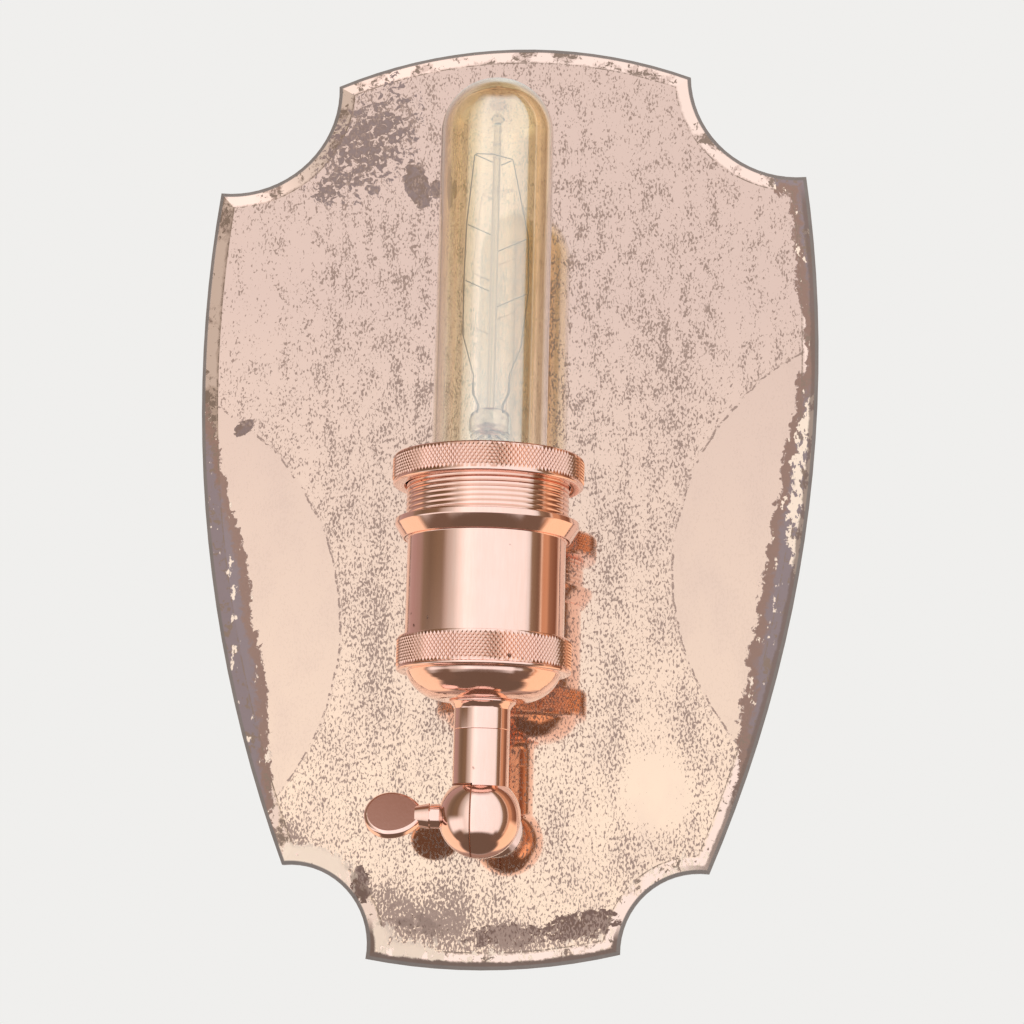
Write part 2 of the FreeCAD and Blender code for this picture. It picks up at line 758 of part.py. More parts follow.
earth_route = [
    ("0", f"-({TAG_MIDDLE})", BARREL_TOP),
    ("0", f"-({TAG_MIDDLE})", f"{BARREL_TOP} + earth_wire_lift"),
    ("0", INSERT_Y, f"{BLOCK_FOOT} - earth_wire_entry"),
    ("0", INSERT_Y, f"{BLOCK_FOOT} + insert_inset"),
]
wires("earth_wire", [earth_route], "wire_radius", "earth_wire_bend")

# Split-ball knuckle: each half is a hollow cap of the ball with a shank that clears the other cap,
# and a boss on the tilt axis for the clamping screw
REAR_FACE = "-(seam_offset + seam_gap / 2)"
STEM_FACE = "-(seam_offset - seam_gap / 2)"
SPAN = "2 * (stem_length + rear_shank_length)"
rear_space = block(f"{REAR_FACE} - {SPAN}", f"-{SPAN} / 2", f"-{SPAN} / 2", SPAN, SPAN, SPAN)
stem_space = block(STEM_FACE, f"-{SPAN} / 2", f"-{SPAN} / 2", SPAN, SPAN, SPAN)
SPOT_FACE = "ball_radius - spot_depth"


def knuckle_half(space, shank, passages):
    """One half of the ball with its shank, hollowed, bossed and bored."""
    clear_shank = cut(shank, ball("ball_radius + joint_clearance"))
    outside = fuse(common(fuse(ball("ball_radius"), shank), space), clear_shank)
    boss = rod("boss_radius", "2 * ball_radius", "ball_radius", turn=LEFTWARD)
    hollow = cut(common(ball("ball_cavity_radius"), space), boss)
    return cut(outside, hollow, *passages)


rear_shank = rod("rear_shank_radius", "rear_shank_length", turn=BACKWARD)
rear_passages = [
    rod("rear_passage_radius", "rear_shank_length", y="boss_radius + boss_clearance", turn=BACKWARD),
    rod(NIPPLE_HOLE, "rear_shank_length", y="rear_shank_length - nipple_engagement", turn=BACKWARD),
    rod("screw_radius + screw_clearance", "ball_radius", turn=LEFTWARD),
    rod("collar_radius + spot_clearance", "ball_radius", f"-({SPOT_FACE})", turn=LEFTWARD),
]
on_head(node("knuckle_rear_half", knuckle_half(rear_space, rear_shank, rear_passages)))

stem_shank = rod("stem_radius", "stem_length")
stem_passages = [
    rod("passage_radius", "stem_length", z="boss_radius + boss_clearance"),
    rod(NIPPLE_HOLE, "stem_length", z="stem_length - nipple_engagement"),
    rod("screw_radius + screw_clearance", "screw_reach + ball_radius", "screw_reach", turn=LEFTWARD),
]
on_head(node("knuckle_stem_half", knuckle_half(stem_space, stem_shank, stem_passages)))

SCREW_HOLE = "screw_radius + screw_clearance"
WASHER_FOOT = "seam_offset - seam_gap / 2 + thread_clearance"
WASHER_TOP = "seam_offset + seam_gap / 2"
on_head(ring("friction_washer", SCREW_HOLE, "boss_radius", WASHER_FOOT, WASHER_TOP), LEFTWARD)

# Thumbscrew: a turned screw with a grooved collar and a flat paddle, stopped with its top leaning back
PADDLE_LEAN_ANGLE = -33
PADDLE_LEAN = Rotation(Vector(1, 0, 0), PADDLE_LEAN_ANGLE)
COLLAR_FOOT = f"{SPOT_FACE} + thread_clearance"
GROOVE_FOOT = f"{COLLAR_FOOT} + collar_length"
NECK_FOOT = f"{GROOVE_FOOT} + groove_length"
SCREW_TIP = "-(screw_reach - spot_clearance)"
screw_profile = [
    ("0", SCREW_TIP),
    ("screw_radius", SCREW_TIP),
    ("screw_radius", COLLAR_FOOT),
    ("collar_radius", COLLAR_FOOT),
    ("collar_radius", GROOVE_FOOT),
    ("groove_radius", GROOVE_FOOT),
    ("groove_radius", NECK_FOOT),
    ("neck_radius", NECK_FOOT),
    ("neck_tip_radius", f"{NECK_FOOT} + neck_length"),
    ("0", f"{NECK_FOOT} + neck_length"),
]
paddle_outline = [
    ("paddle_root_half", "paddle_start"),
    ("paddle_half_width", "paddle_end - paddle_half_width"),
    ("0", "paddle_end"),
    ("-paddle_half_width", "paddle_end - paddle_half_width"),
    ("-paddle_root_half", "paddle_start"),
]
PADDLE_ARCS = {
    0: ("paddle_side_radius", 1),
    1: ("paddle_half_width", 1),
    2: ("paddle_half_width", 1),
    3: ("paddle_side_radius", 1),
}
thumbscrew = doc.addObject("PartDesign::Body", "thumbscrew")
paddle = plate(thumbscrew, paddle_outline, PADDLE_ARCS, "paddle_thickness")
doc.recompute()
rim_edges = []
for index, edge in enumerate(paddle.Shape.Edges, start=1):
    if isinstance(edge.Curve, Part.Circle):
        rim_edges.append(f"Edge{index}")
rounding = thumbscrew.newObject("PartDesign::Fillet", "rounding")
rounding.Base = (paddle, rim_edges)
bind(rounding, Radius="paddle_rounding")
node("thumbscrew", revolve(thumbscrew, screw_profile))
on_head(thumbscrew, PADDLE_LEAN * LEFTWARD)

# Stem: a hollow nipple, the flared coupling round it and the nut that holds the cap down
CAP_FOOT = "stem_length + coupling_length"
CAP_FLOOR = f"{CAP_FOOT} + cap_floor"
NIPPLE_TOP = f"{CAP_FLOOR} + nut_height + nipple_projection"
NIPPLE_FOOT = "stem_length - nipple_engagement"
on_head(ring("stem_nipple", "nipple_bore_radius", "nipple_radius", NIPPLE_FOOT, NIPPLE_TOP))
coupling_profile = [
    (NIPPLE_HOLE, "stem_length"),
    ("stem_radius", "stem_length"),
    ("stem_radius", "stem_length + coupling_tube_length"),
    ("coupling_flange_radius", CAP_FOOT),
    (NIPPLE_HOLE, CAP_FOOT),
]
on_head(turned("stem_coupling", coupling_profile))
on_head(node("cap_nut", hex_nut(CAP_FLOOR)))

# Lampholder cap: a spun dome with the lower ring, threaded inside for the barrel
RIM_FOOT = f"{CAP_FOOT} + dome_height"
SEAT = f"{RIM_FOOT} + cap_seat_rise"
RIM_TOP = f"{RIM_FOOT} + cap_ring_height"
CAP_BORE = "barrel_radius + thread_clearance"
cap_profile = [
    (NIPPLE_HOLE, CAP_FOOT),
    ("dome_foot_radius", CAP_FOOT),
    ("dome_top_radius", RIM_FOOT),
    ("cap_ring_radius - cap_lip", RIM_FOOT),
    ("cap_ring_radius", f"{RIM_FOOT} + cap_lip"),
    ("cap_ring_radius", f"{RIM_TOP} - ring_edge"),
    ("cap_ring_radius - ring_edge", RIM_TOP),
    (CAP_BORE, RIM_TOP),
    (CAP_BORE, SEAT),
    ("cap_cavity_radius", SEAT),
    ("cap_cavity_radius", f"{SEAT} - cap_cavity_drop"),
    ("cap_floor_radius", CAP_FLOOR),
    (NIPPLE_HOLE, CAP_FLOOR),
]
cap_arcs = {1: ("dome_arc_radius", 1), 10: ("dome_inner_arc_radius", -1)}
on_head(turned("lampholder_cap", cap_profile, cap_arcs))

# Lampholder barrel: screws into the cap and holds the porcelain down with its inner lip
THREAD_FOOT = f"{SEAT} + barrel_length"
THREAD_TOP = f"{THREAD_FOOT} + shade_thread_length"
CORE_TOP = f"{SEAT} + core_height"
CORE_HOLE = "core_radius + core_clearance"
barrel_profile = [
    (CORE_HOLE, SEAT),
    ("barrel_radius", SEAT),
    ("barrel_radius", THREAD_FOOT),
    ("shade_thread_radius", THREAD_FOOT),
    ("shade_thread_radius", f"{THREAD_TOP} - ring_edge"),
    ("shade_thread_radius - ring_edge", THREAD_TOP),
    ("core_radius - barrel_lip", THREAD_TOP),
    ("core_radius - barrel_lip", CORE_TOP),
    (CORE_HOLE, CORE_TOP),
]
on_head(turned("lampholder_body", barrel_profile))

# Porcelain core: a wiring chamber below, a floor with two screw holes, and the shell's well above
FLOOR_FOOT = f"{SEAT} + core_cavity_depth"
FLOOR_TOP = f"{FLOOR_FOOT} + core_floor"
SHELL_INNER = "bulb_thread_radius + shell_clearance"
SHELL_OUTER = f"{SHELL_INNER} + shell_wall"
CORE_WELL = f"{SHELL_OUTER} + core_clearance"
core_profile = [
    ("0", FLOOR_FOOT),
    ("core_cavity_radius", FLOOR_FOOT),
    ("core_cavity_radius", SEAT),
    ("core_radius", SEAT),
    ("core_radius", CORE_TOP),
    (CORE_WELL, CORE_TOP),
    (CORE_WELL, FLOOR_TOP),
    ("0", FLOOR_TOP),
]
core_blank = revolve(doc.addObject("PartDesign::Body", "core_blank"), core_profile)
screw_holes = []
holder_screws = []
for side in ("-", ""):
    screw_x = f"{side}holder_screw_x"
    hole_radius = "holder_screw_radius + thread_clearance"
    hole_depth = "holder_screw_length + thread_clearance"
    screw_holes.append(rod(hole_radius, hole_depth, screw_x, z=FLOOR_FOOT))
    head_foot = f"{FLOOR_FOOT} - holder_screw_head_height"
    screw_head = rod("holder_screw_head_radius", "holder_screw_head_height", screw_x, z=head_foot)
    screw_shank = rod("holder_screw_radius", "holder_screw_length", screw_x, z=FLOOR_FOOT)
    holder_screws.append(fuse(screw_head, screw_shank))
on_head(node("porcelain_core", cut(core_blank, *screw_holes)))
on_head(node("holder_screws", group(holder_screws)))

shell_profile = [
    ("shell_base_radius", FLOOR_TOP),
    (SHELL_OUTER, FLOOR_TOP),
    (SHELL_OUTER, f"{FLOOR_TOP} + shell_height"),
    (SHELL_INNER, f"{FLOOR_TOP} + shell_height"),
    (SHELL_INNER, f"{FLOOR_TOP} + shell_wall"),
    ("shell_base_radius", f"{FLOOR_TOP} + shell_wall"),
]
on_head(turned("screw_shell", shell_profile))

CONTACT_TOP = f"{FLOOR_TOP} + contact_rise"
leaf_outline = [
    ("contact_half_length", FLOOR_TOP),
    ("contact_half_length", f"{FLOOR_TOP} + contact_thickness"),
    ("0.55 * contact_half_length", f"{FLOOR_TOP} + contact_thickness"),
    ("0.15 * contact_half_length", CONTACT_TOP),
    ("-0.35 * contact_half_length", CONTACT_TOP),
    ("-0.35 * contact_half_length", f"{CONTACT_TOP} - contact_thickness"),
    ("0.1 * contact_half_length", f"{CONTACT_TOP} - contact_thickness"),
    ("0.5 * contact_half_length", FLOOR_TOP),
]
centre_contact = doc.addObject("PartDesign::Body", "centre_contact")
plate(centre_contact, leaf_outline, {}, "contact_width")
on_head(node("centre_contact", centre_contact))

for label, side, level in (("head_live_wire", "-", "-"), ("head_neutral_wire", "", "+")):
    run_y = f"{PIVOT_Y} {level} wire_offset"
    head_route = [
        ("wire_offset", run_y, f"{PIVOT_Z} + wire_stop"),
        ("wire_offset", run_y, f"{PIVOT_Z} + {NIPPLE_TOP} + head_wire_lift"),
        (f"{side}holder_screw_x", PIVOT_Y, f"{PIVOT_Z} + {NIPPLE_TOP} + head_wire_turn_rise"),
        (f"{side}holder_screw_x", PIVOT_Y, f"{PIVOT_Z} + {FLOOR_FOOT} - holder_screw_head_height"),
    ]
    wires(label, [head_route], "wire_radius", "head_wire_bend")

# Shade rings on the barrel's outer thread
RING_BORE = "shade_thread_radius + ring_clearance"
SEAT_RING_TOP = f"{THREAD_FOOT} + seat_ring_height"
seat_ring_profile = [
    (RING_BORE, THREAD_FOOT),
    (f"{RING_BORE} + seat_ring_foot", THREAD_FOOT),
    ("seat_ring_radius", f"{SEAT_RING_TOP} - seat_ring_rim"),
    ("seat_ring_radius", SEAT_RING_TOP),
    (RING_BORE, SEAT_RING_TOP),
]
on_head(turned("shade_seat_ring", seat_ring_profile))

CLAMP_FOOT = f"{SEAT_RING_TOP} + shade_gap"
CLAMP_TOP = f"{CLAMP_FOOT} + clamp_ring_height"
clamp_ring_profile = [
    (RING_BORE, CLAMP_FOOT),
    ("clamp_ring_radius - ring_edge", CLAMP_FOOT),
    ("clamp_ring_radius", f"{CLAMP_FOOT} + ring_edge"),
    ("clamp_ring_radius", f"{CLAMP_TOP} - ring_edge"),
    ("clamp_ring_radius - ring_edge", CLAMP_TOP),
    (RING_BORE, CLAMP_TOP),
]
on_head(turned("shade_clamp_ring", clamp_ring_profile))

# Tubular lamp, from the contact at its foot upwards
TIP = f"{CONTACT_TOP} + contact_gap"
INSULATOR_FOOT = f"{TIP} + bulb_contact_height"
BULB_CAP_FOOT = f"{INSULATOR_FOOT} + insulator_height"
BULB_CAP_TOP = f"{BULB_CAP_FOOT} + bulb_cap_height"
BULB_TOP = f"{TIP} + bulb_length"
contact_profile = [
    ("0", TIP),
    ("0.7 * bulb_contact_radius", TIP),
    ("bulb_contact_radius", INSULATOR_FOOT),
    ("0", INSULATOR_FOOT),
]
on_head(turned("bulb_base_contact", contact_profile))
insulator_profile = [
    ("0", INSULATOR_FOOT),
    ("bulb_contact_radius", INSULATOR_FOOT),
    ("insulator_radius", BULB_CAP_FOOT),
    ("0", BULB_CAP_FOOT),
]
on_head(turned("bulb_insulator", insulator_profile))
BULB_CAP_INNER = "bulb_thread_radius - bulb_cap_wall"
bulb_cap_profile = [
    ("insulator_radius - bulb_cap_wall", BULB_CAP_FOOT),
    ("insulator_radius", BULB_CAP_FOOT),
    ("bulb_thread_radius", f"{BULB_CAP_FOOT} + bulb_cap_shoulder"),
    ("bulb_thread_radius", BULB_CAP_TOP),
    (BULB_CAP_INNER, BULB_CAP_TOP),
    (BULB_CAP_INNER, f"{BULB_CAP_FOOT} + bulb_cap_shoulder"),
]
on_head(turned("bulb_screw_cap", bulb_cap_profile))

NECK_OUTER = f"{BULB_CAP_INNER} - seal_clearance"
NECK_INNER = f"{NECK_OUTER} - bulb_wall"
GLASS_FOOT = f"{BULB_CAP_TOP} - bulb_neck_lap"
GLASS_NECK = f"{GLASS_FOOT} + bulb_neck_length"
GLASS_SIDE = f"{GLASS_NECK} + bulb_flare_length"
glass_profile = [
    (NECK_INNER, GLASS_FOOT),
    (NECK_OUTER, GLASS_FOOT),
    (NECK_OUTER, GLASS_NECK),
    ("bulb_radius", GLASS_SIDE),
    ("bulb_radius", f"{BULB_TOP} - bulb_radius"),
    ("0", BULB_TOP),
    ("0", f"{BULB_TOP} - bulb_wall"),
    ("bulb_radius - bulb_wall", f"{BULB_TOP} - bulb_radius"),
    ("bulb_radius - bulb_wall", GLASS_SIDE),
    (NECK_INNER, GLASS_NECK),
]
glass_arcs = {4: ("bulb_radius", 1), 6: ("bulb_radius - bulb_wall", -1)}
on_head(turned("bulb_glass", glass_profile, glass_arcs))

# Glass stem sealed into the neck: flare, tube and press, with the rod that carries the supports
PRESS_TOP = f"{GLASS_FOOT} + stem_press_height + stem_press_cone"
FLARE_RADIUS = f"{NECK_INNER} - seal_clearance"
stem_profile = [
    (f"{FLARE_RADIUS} - stem_wall", GLASS_FOOT),
    (FLARE_RADIUS, GLASS_FOOT),
    ("stem_press_radius", f"{GLASS_FOOT} + stem_flare_height"),
    ("stem_press_radius", f"{GLASS_FOOT} + stem_press_height"),
    ("rod_radius", PRESS_TOP),
    ("0", PRESS_TOP),
    ("0", f"{GLASS_FOOT} + stem_hollow_height"),
    ("stem_press_radius - stem_wall", f"{GLASS_FOOT} + stem_hollow_height"),
    ("stem_press_radius - stem_wall", f"{GLASS_FOOT} + stem_flare_height"),
]
on_head(turned("bulb_stem", stem_profile))
ROD_TOP = f"{PRESS_TOP} + rod_length"
rod_profile = [
    ("0", PRESS_TOP),
    ("rod_radius", PRESS_TOP),
    ("rod_radius", ROD_TOP),
    ("rod_bead_radius", f"{ROD_TOP} + rod_bead_height / 2"),
    ("rod_radius", f"{ROD_TOP} + rod_bead_height"),
    ("0", f"{ROD_TOP} + rod_bead_height"),
]
on_head(turned("bulb_support_rod", rod_profile))


def in_bulb(points):
    """A route of (x, forward, rise) formulas from the middle of the press's top."""
    route = []
    for x, ahead, rise in points:
        route.append((x, f"{PIVOT_Y} - {ahead}", f"{PIVOT_Z} + {PRESS_TOP} + {rise}"))
    return route


# Leads stand on the press's cone; the filament is one hairpin over two hooks and four side supports,
# and passes in front of the rod between the hooks
leads = []
for side in ("-", ""):
    lead_points = [
        (f"{side}lead_foot_x", "0", "(-lead_foot_drop)"),
        (f"{side}lead_foot_x", "0", "lead_bend_foot"),
        (f"{side}lead_top_x", "0", "lead_bend_top"),
        (f"{side}lead_top_x", "0", "lead_rise"),
    ]
    leads.append(in_bulb(lead_points))
wires("lead_wires", leads, "lead_radius", "lead_bend")
CLAMP_RISE = "lead_rise + filament_clamp"
filament_points = [
    ("-lead_top_x", "0", "lead_rise"),
    ("-lead_top_x", "0", CLAMP_RISE),
    ("-left_foot_x", "0", "left_foot_rise"),
    ("-left_lower_support_x", "0", "left_lower_support_rise"),
    ("-left_upper_support_x", "0", "left_upper_support_rise"),
    ("-left_hook_x", "0", "left_hook_rise"),
    ("-bow_x", "bow_ahead", "bow_rise"),
    ("right_hook_x", "0", "right_hook_rise"),
    ("right_upper_support_x", "0", "right_upper_support_rise"),
    ("right_lower_support_x", "0", "right_lower_support_rise"),
    ("right_foot_x", "0", "right_foot_rise"),
    ("lead_top_x", "0", CLAMP_RISE),
    ("lead_top_x", "0", "lead_rise"),
]
wires("filament", [in_bulb(filament_points)], "filament_radius", "filament_bend")
SUPPORT_SLOPE = "0.45"
supports = []
for side, place in (
    ("-", "left_hook"),
    ("", "right_hook"),
    ("-", "left_upper_support"),
    ("", "right_upper_support"),
    ("-", "left_lower_support"),
    ("", "right_lower_support"),
):
    tip_x = f"({place}_x - support_gap)"
    tip_rise = f"{place}_rise - support_gap"
    root_x = "(rod_radius + seal_clearance)"
    support_points = [
        (f"{side}{root_x}", "0", f"{tip_rise} - {SUPPORT_SLOPE} * ({tip_x} - {root_x})"),
        (f"{side}{tip_x}", "0", tip_rise),
    ]
    supports.append(in_bulb(support_points))
wires("filament_supports", supports, "support_radius", "support_bend")

# Every piece has to be whole before any file is written
doc.recompute()
for item in doc.Objects:
    if "Invalid" in item.State or "Error" in item.State:
        raise ValueError(f"{item.Label} did not rebuild: {item.State}")
for item in nodes:
    if item.Shape.isNull() or not item.Shape.isValid() or not item.Shape.Solids:
        raise ValueError(f"{item.Label} has no valid solid")

os.makedirs("parts", exist_ok=True)
for item in nodes:
    item.Shape.exportStep(f"parts/{item.Label}.step")
    print(item.Label, len(item.Shape.Solids), "solids", round(item.Shape.Volume), "mm3")
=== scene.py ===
import functools
import math

import bmesh
import bpy
from mathutils import Matrix, Vector


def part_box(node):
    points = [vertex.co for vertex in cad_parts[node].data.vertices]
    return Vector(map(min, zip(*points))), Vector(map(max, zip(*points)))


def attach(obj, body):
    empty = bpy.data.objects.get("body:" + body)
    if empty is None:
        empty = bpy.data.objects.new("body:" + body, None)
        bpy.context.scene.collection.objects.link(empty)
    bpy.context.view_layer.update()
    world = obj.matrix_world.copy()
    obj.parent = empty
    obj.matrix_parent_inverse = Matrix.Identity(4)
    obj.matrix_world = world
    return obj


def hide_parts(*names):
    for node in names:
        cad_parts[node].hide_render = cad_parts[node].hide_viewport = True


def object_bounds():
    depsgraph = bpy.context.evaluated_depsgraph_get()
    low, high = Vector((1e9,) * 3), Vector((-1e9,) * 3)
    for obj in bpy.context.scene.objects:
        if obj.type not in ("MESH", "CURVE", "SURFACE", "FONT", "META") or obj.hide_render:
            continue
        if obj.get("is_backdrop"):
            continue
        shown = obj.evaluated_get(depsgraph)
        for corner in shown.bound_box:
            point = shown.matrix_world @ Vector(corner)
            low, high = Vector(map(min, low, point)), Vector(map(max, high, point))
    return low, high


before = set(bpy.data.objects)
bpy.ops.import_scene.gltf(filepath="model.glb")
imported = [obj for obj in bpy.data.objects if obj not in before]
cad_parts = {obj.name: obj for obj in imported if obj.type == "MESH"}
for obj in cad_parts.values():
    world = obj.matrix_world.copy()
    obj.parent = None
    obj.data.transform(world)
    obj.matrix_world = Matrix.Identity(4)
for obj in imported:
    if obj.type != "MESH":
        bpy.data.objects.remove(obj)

cad_low, cad_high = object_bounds()

# Battens: two stiles and two rails of planed softwood, 12 by 14 mm, glued and pinned to the
# back of the panel. They hold it off the wall and leave a space for the wiring.
MM = 0.001


def linear(colour):
    """An sRGB hex colour as the linear colour that a shader takes."""
    parts = [int(colour[i:i + 2], 16) / 255 for i in (1, 3, 5)]
    return [p / 12.92 if p <= 0.04045 else ((p + 0.055) / 1.055) ** 2.4 for p in parts] + [1]


def add_node(tree, kind, inputs=(), **settings):
    """Adds a node by its kind, with any mode after it, and its settings. Inputs go by socket name or in
    the order of the sockets in use; each is a value, a hex colour, or the node or socket that feeds it."""
    kind, _, mode = kind.partition(" ")
    node = tree.nodes.new("ShaderNode" + kind)
    if mode:
        modes = {"Mix": "data_type", "MapRange": "interpolation_type"}
        settings[modes.get(kind, "operation")] = mode
    for name, value in settings.items():
        setattr(node, name, value)
    named = isinstance(inputs, dict)
    sockets = node.inputs if named else [socket for socket in node.inputs if socket.enabled]
    for key, value in inputs.items() if named else enumerate(inputs):
        if isinstance(value, bpy.types.Node):
            value = next(socket for socket in value.outputs if socket.enabled)
        if isinstance(value, bpy.types.NodeSocket):
            tree.links.new(value, sockets[key])
        else:
            sockets[key].default_value = linear(value) if isinstance(value, str) else value
    return node


def new_material(name):
    """An empty node material, what adds a node to it, and its surface coordinates in metres."""
    material = bpy.data.materials.new(name)
    material.use_nodes = True
    material.node_tree.nodes.clear()
    add = functools.partial(add_node, material.node_tree)
    return material, add, add("TexCoord").outputs["Object"]


def dress(material, *names):
    """Gives CAD nodes a material."""
    for name in names:
        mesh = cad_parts[name].data
        mesh.materials.clear()
        mesh.materials.append(material)


def soften(width, *names):
    """Rounds the sharp edges of CAD nodes, by a width in millimetres."""
    for name in names:
        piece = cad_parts[name]
        piece.modifiers.new("weld", "WELD").merge_threshold = 0.001 * MM
        edge = piece.modifiers.new("soft_edge", "BEVEL")
        edge.width = width * MM
        edge.segments = 2
        edge.angle_limit = math.radians(40)
        edge.harden_normals = True


# Planed softwood: pale straw with darker late-wood lines a few millimetres apart along the batten
for label, stretch, battens in (
    ("planed_softwood_upright", (1, 1, 0.05), ("left_stile", "right_stile")),
    ("planed_softwood_level", (0.05, 1, 1), ("top_rail", "bottom_rail")),
):
    softwood, add, place = new_material(label)
    grain = add("Mapping", {"Vector": place, "Scale": stretch})
    rings = add("TexNoise", (grain, 1 / (12 * MM), 1))
    rings = add("Math MULTIPLY", (rings, 55))
    rings = add("Math SINE", (rings,))
    fibre = add("TexNoise", (grain, 1 / (0.5 * MM), 4))
    tone = add("Math MULTIPLY_ADD", (fibre, 0.7, 0.2))
    tone = add("Math MULTIPLY_ADD", (rings, 0.17, tone))
    tone = add("MapRange", (tone, 0.2, 1))
    colour = add("Mix RGBA", (tone, "#E3C591", "#B98A50"))
    pores = add("Bump", {"Height": fibre, "Strength": 0.3, "Distance": 0.1 * MM})
    wood = add("BsdfPrincipled", {"Base Color": colour, "Roughness": 0.62, "Normal": pores})
    add("OutputMaterial", {"Surface": wood})
    dress(softwood, *battens)
soften(0.7, "left_stile", "right_stile", "top_rail", "bottom_rail")

# Back panel: 6 mm plywood of five plies, sawn to the mirror's outline a little inside its edge.
# The glass is bonded to its front, and the arm and the terminal block are fixed through it.
panel_low, panel_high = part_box("back_panel")
ply = (panel_high.y - panel_low.y) / 5

# Birch plywood: a honey face with long figure, and dark and pale plies on the sawn edge
plywood, add, place = new_material("birch_plywood")
grain = add("Mapping", {"Vector": place, "Scale": (1, 1, 0.12)})
figure = add("TexNoise", (grain, 1 / (26 * MM), 1))
figure = add("Math MULTIPLY", (figure, 50))
figure = add("Math SINE", (figure,))
fibre = add("TexNoise", (grain, 1 / (0.6 * MM), 5))
tone = add("Math MULTIPLY_ADD", (fibre, 0.8, 0.15))
tone = add("Math MULTIPLY_ADD", (figure, 0.13, tone))
face = add("MapRange", (tone, 0.25, 1))
face = add("Mix RGBA", (face, "#DDB883", "#B98C56"))
depth = add("SeparateXYZ", (place,)).outputs["Y"]
layer = add("Math FLOORED_MODULO", (depth, 2 * ply))
layer = add("Math GREATER_THAN", (layer, ply))
edge = add("Mix RGBA", (layer, "#D8B585", "#7E5733"))
normal = add("NewGeometry").outputs["Normal"]
facing = add("SeparateXYZ", (normal,)).outputs["Y"]
facing = add("Math ABSOLUTE", (facing,))
facing = add("Math GREATER_THAN", (facing, 0.7))
colour = add("Mix RGBA", (facing, edge, face))
pores = add("Bump", {"Height": tone, "Strength": 0.3, "Distance": 0.2 * MM})
board = add("BsdfPrincipled", {"Base Color": colour, "Roughness": 0.6, "Normal": pores})
add("OutputMaterial", {"Surface": board})
dress(plywood, "back_panel")
soften(0.4, "back_panel")

# Hanging strap: 2 mm steel, stamped with two keyholes and let into the stiles, with four slotted
# and countersunk wood screws. Zinc plate covers them and the other steel fixings.
BACKWARD = Matrix.Rotation(-math.pi / 2, 4, "X")  # turns the upright axis to point at the wall
STRAP_HEAD, STRAP_SHANK, STRAP_LENGTH = 3.2, 1.6, 10


def slotted_screw(work, place, crown, rim, floor, shank):
    """Adds a screw with a slot across its head, from (radius, height) pairs down from the top."""
    half_slot = 0.14 * rim[0]

    def ring(radius, height, angles):
        spots = [Vector((radius * math.cos(a), radius * math.sin(a), height)) * MM for a in angles]
        return [work.verts.new(place @ spot) for spot in spots]

    def block(radius, turn):
        half = math.acos(half_slot / radius)
        return [turn + half * k / 10 for k in range(-10, 11)]

    angles = []
    for turn in (0, math.pi):
        angles += block(floor[0], turn)
        ends = math.pi - 2 * math.acos(half_slot / floor[0])
        angles += [angles[-1] + ends * k / 4 for k in (1, 2, 3)]
    foot = ring(*floor, angles)
    for first, turn in ((0, 0), (24, math.pi)):
        layers = [foot[first:first + 21]]
        layers += [ring(*level, block(level[0], turn)) for level in (rim, crown)]
        for below, above in zip(layers, layers[1:]):
            for k in range(21):
                work.faces.new((below[k - 1], below[k], above[k], above[k - 1]))
        work.faces.new(layers[-1])
    work.faces.new(foot[20:25] + foot[44:] + foot[:1])
    for level in shank:
        lower = ring(*level, angles)
        for k in range(48):
            work.faces.new((foot[k - 1], foot[k], lower[k], lower[k - 1]))
        foot = lower
    work.faces.new(foot)


def finish_piece(name, work, place, material, body, slot, *nodes):
    """Closes a worked mesh into a named piece that rides on a body and stands for CAD nodes."""
    bmesh.ops.remove_doubles(work, verts=work.verts, dist=0.001 * MM)
    bmesh.ops.recalc_face_normals(work, faces=work.faces)
    work.transform(place)
    mesh = bpy.data.meshes.new(name)
    work.to_mesh(mesh)
    work.free()
    mesh.shade_smooth()
    mesh.set_sharp_from_angle(angle=math.radians(32))
    mesh.materials.append(material)
    made = bpy.data.objects.new(name, mesh)
    bpy.context.collection.objects.link(made)
    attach(made, body)
    if nodes:
        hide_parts(*nodes)


def slotted_screws(name, node, head, columns, rows, turns, *shape):
    """Zinc-plated screws in columns and rows over a CAD node, each turned on from the one before."""
    low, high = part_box(node)
    inset = Vector((head, 0, head)) * MM
    first, last = low + inset, high - inset
    start, next_column, next_row = turns
    work = bmesh.new()
    for i in range(columns):
        for j in range(rows):
            x = first.x + (last.x - first.x) * i / (columns - 1)
            z = first.z + (last.z - first.z) * j / max(1, rows - 1)
            turn = Matrix.Rotation(start + next_column * i + next_row * j, 4, "Z")
            slotted_screw(work, Matrix.Translation((x, high.y, z)) @ BACKWARD @ turn, *shape)
    finish_piece(name, work, Matrix(), zinc_plate, "wall_frame", "zinc_plated_steel", node)


# Zinc plated steel: pale blue-grey and bright, with a cloudy bloom and fine crystals
zinc_plate, add, place = new_material("zinc_plated_steel")
bloom = add("TexNoise", (place, 1 / (6 * MM), 4))
crystals = add("TexVoronoi", (place, 1 / (1.2 * MM)))
tone = add("Math MULTIPLY_ADD", (crystals, 0.25, bloom))
colour = add("MapRange", (tone, 0.35, 0.8))
colour = add("Mix RGBA", (colour, "#D5D8DA", "#A9AFB2"))
gloss = add("MapRange", (tone, 0, 1, 0.22, 0.5))
dents = add("Bump", {"Height": tone, "Strength": 0.15, "Distance": 0.1 * MM})
steel = add("BsdfPrincipled", {"Base Color": colour, "Metallic": 1, "Roughness": gloss, "Normal": dents})
add("OutputMaterial", {"Surface": steel})
dress(zinc_plate, "hanging_strap", "wall_washer", "stem_nipple", "cap_nut")

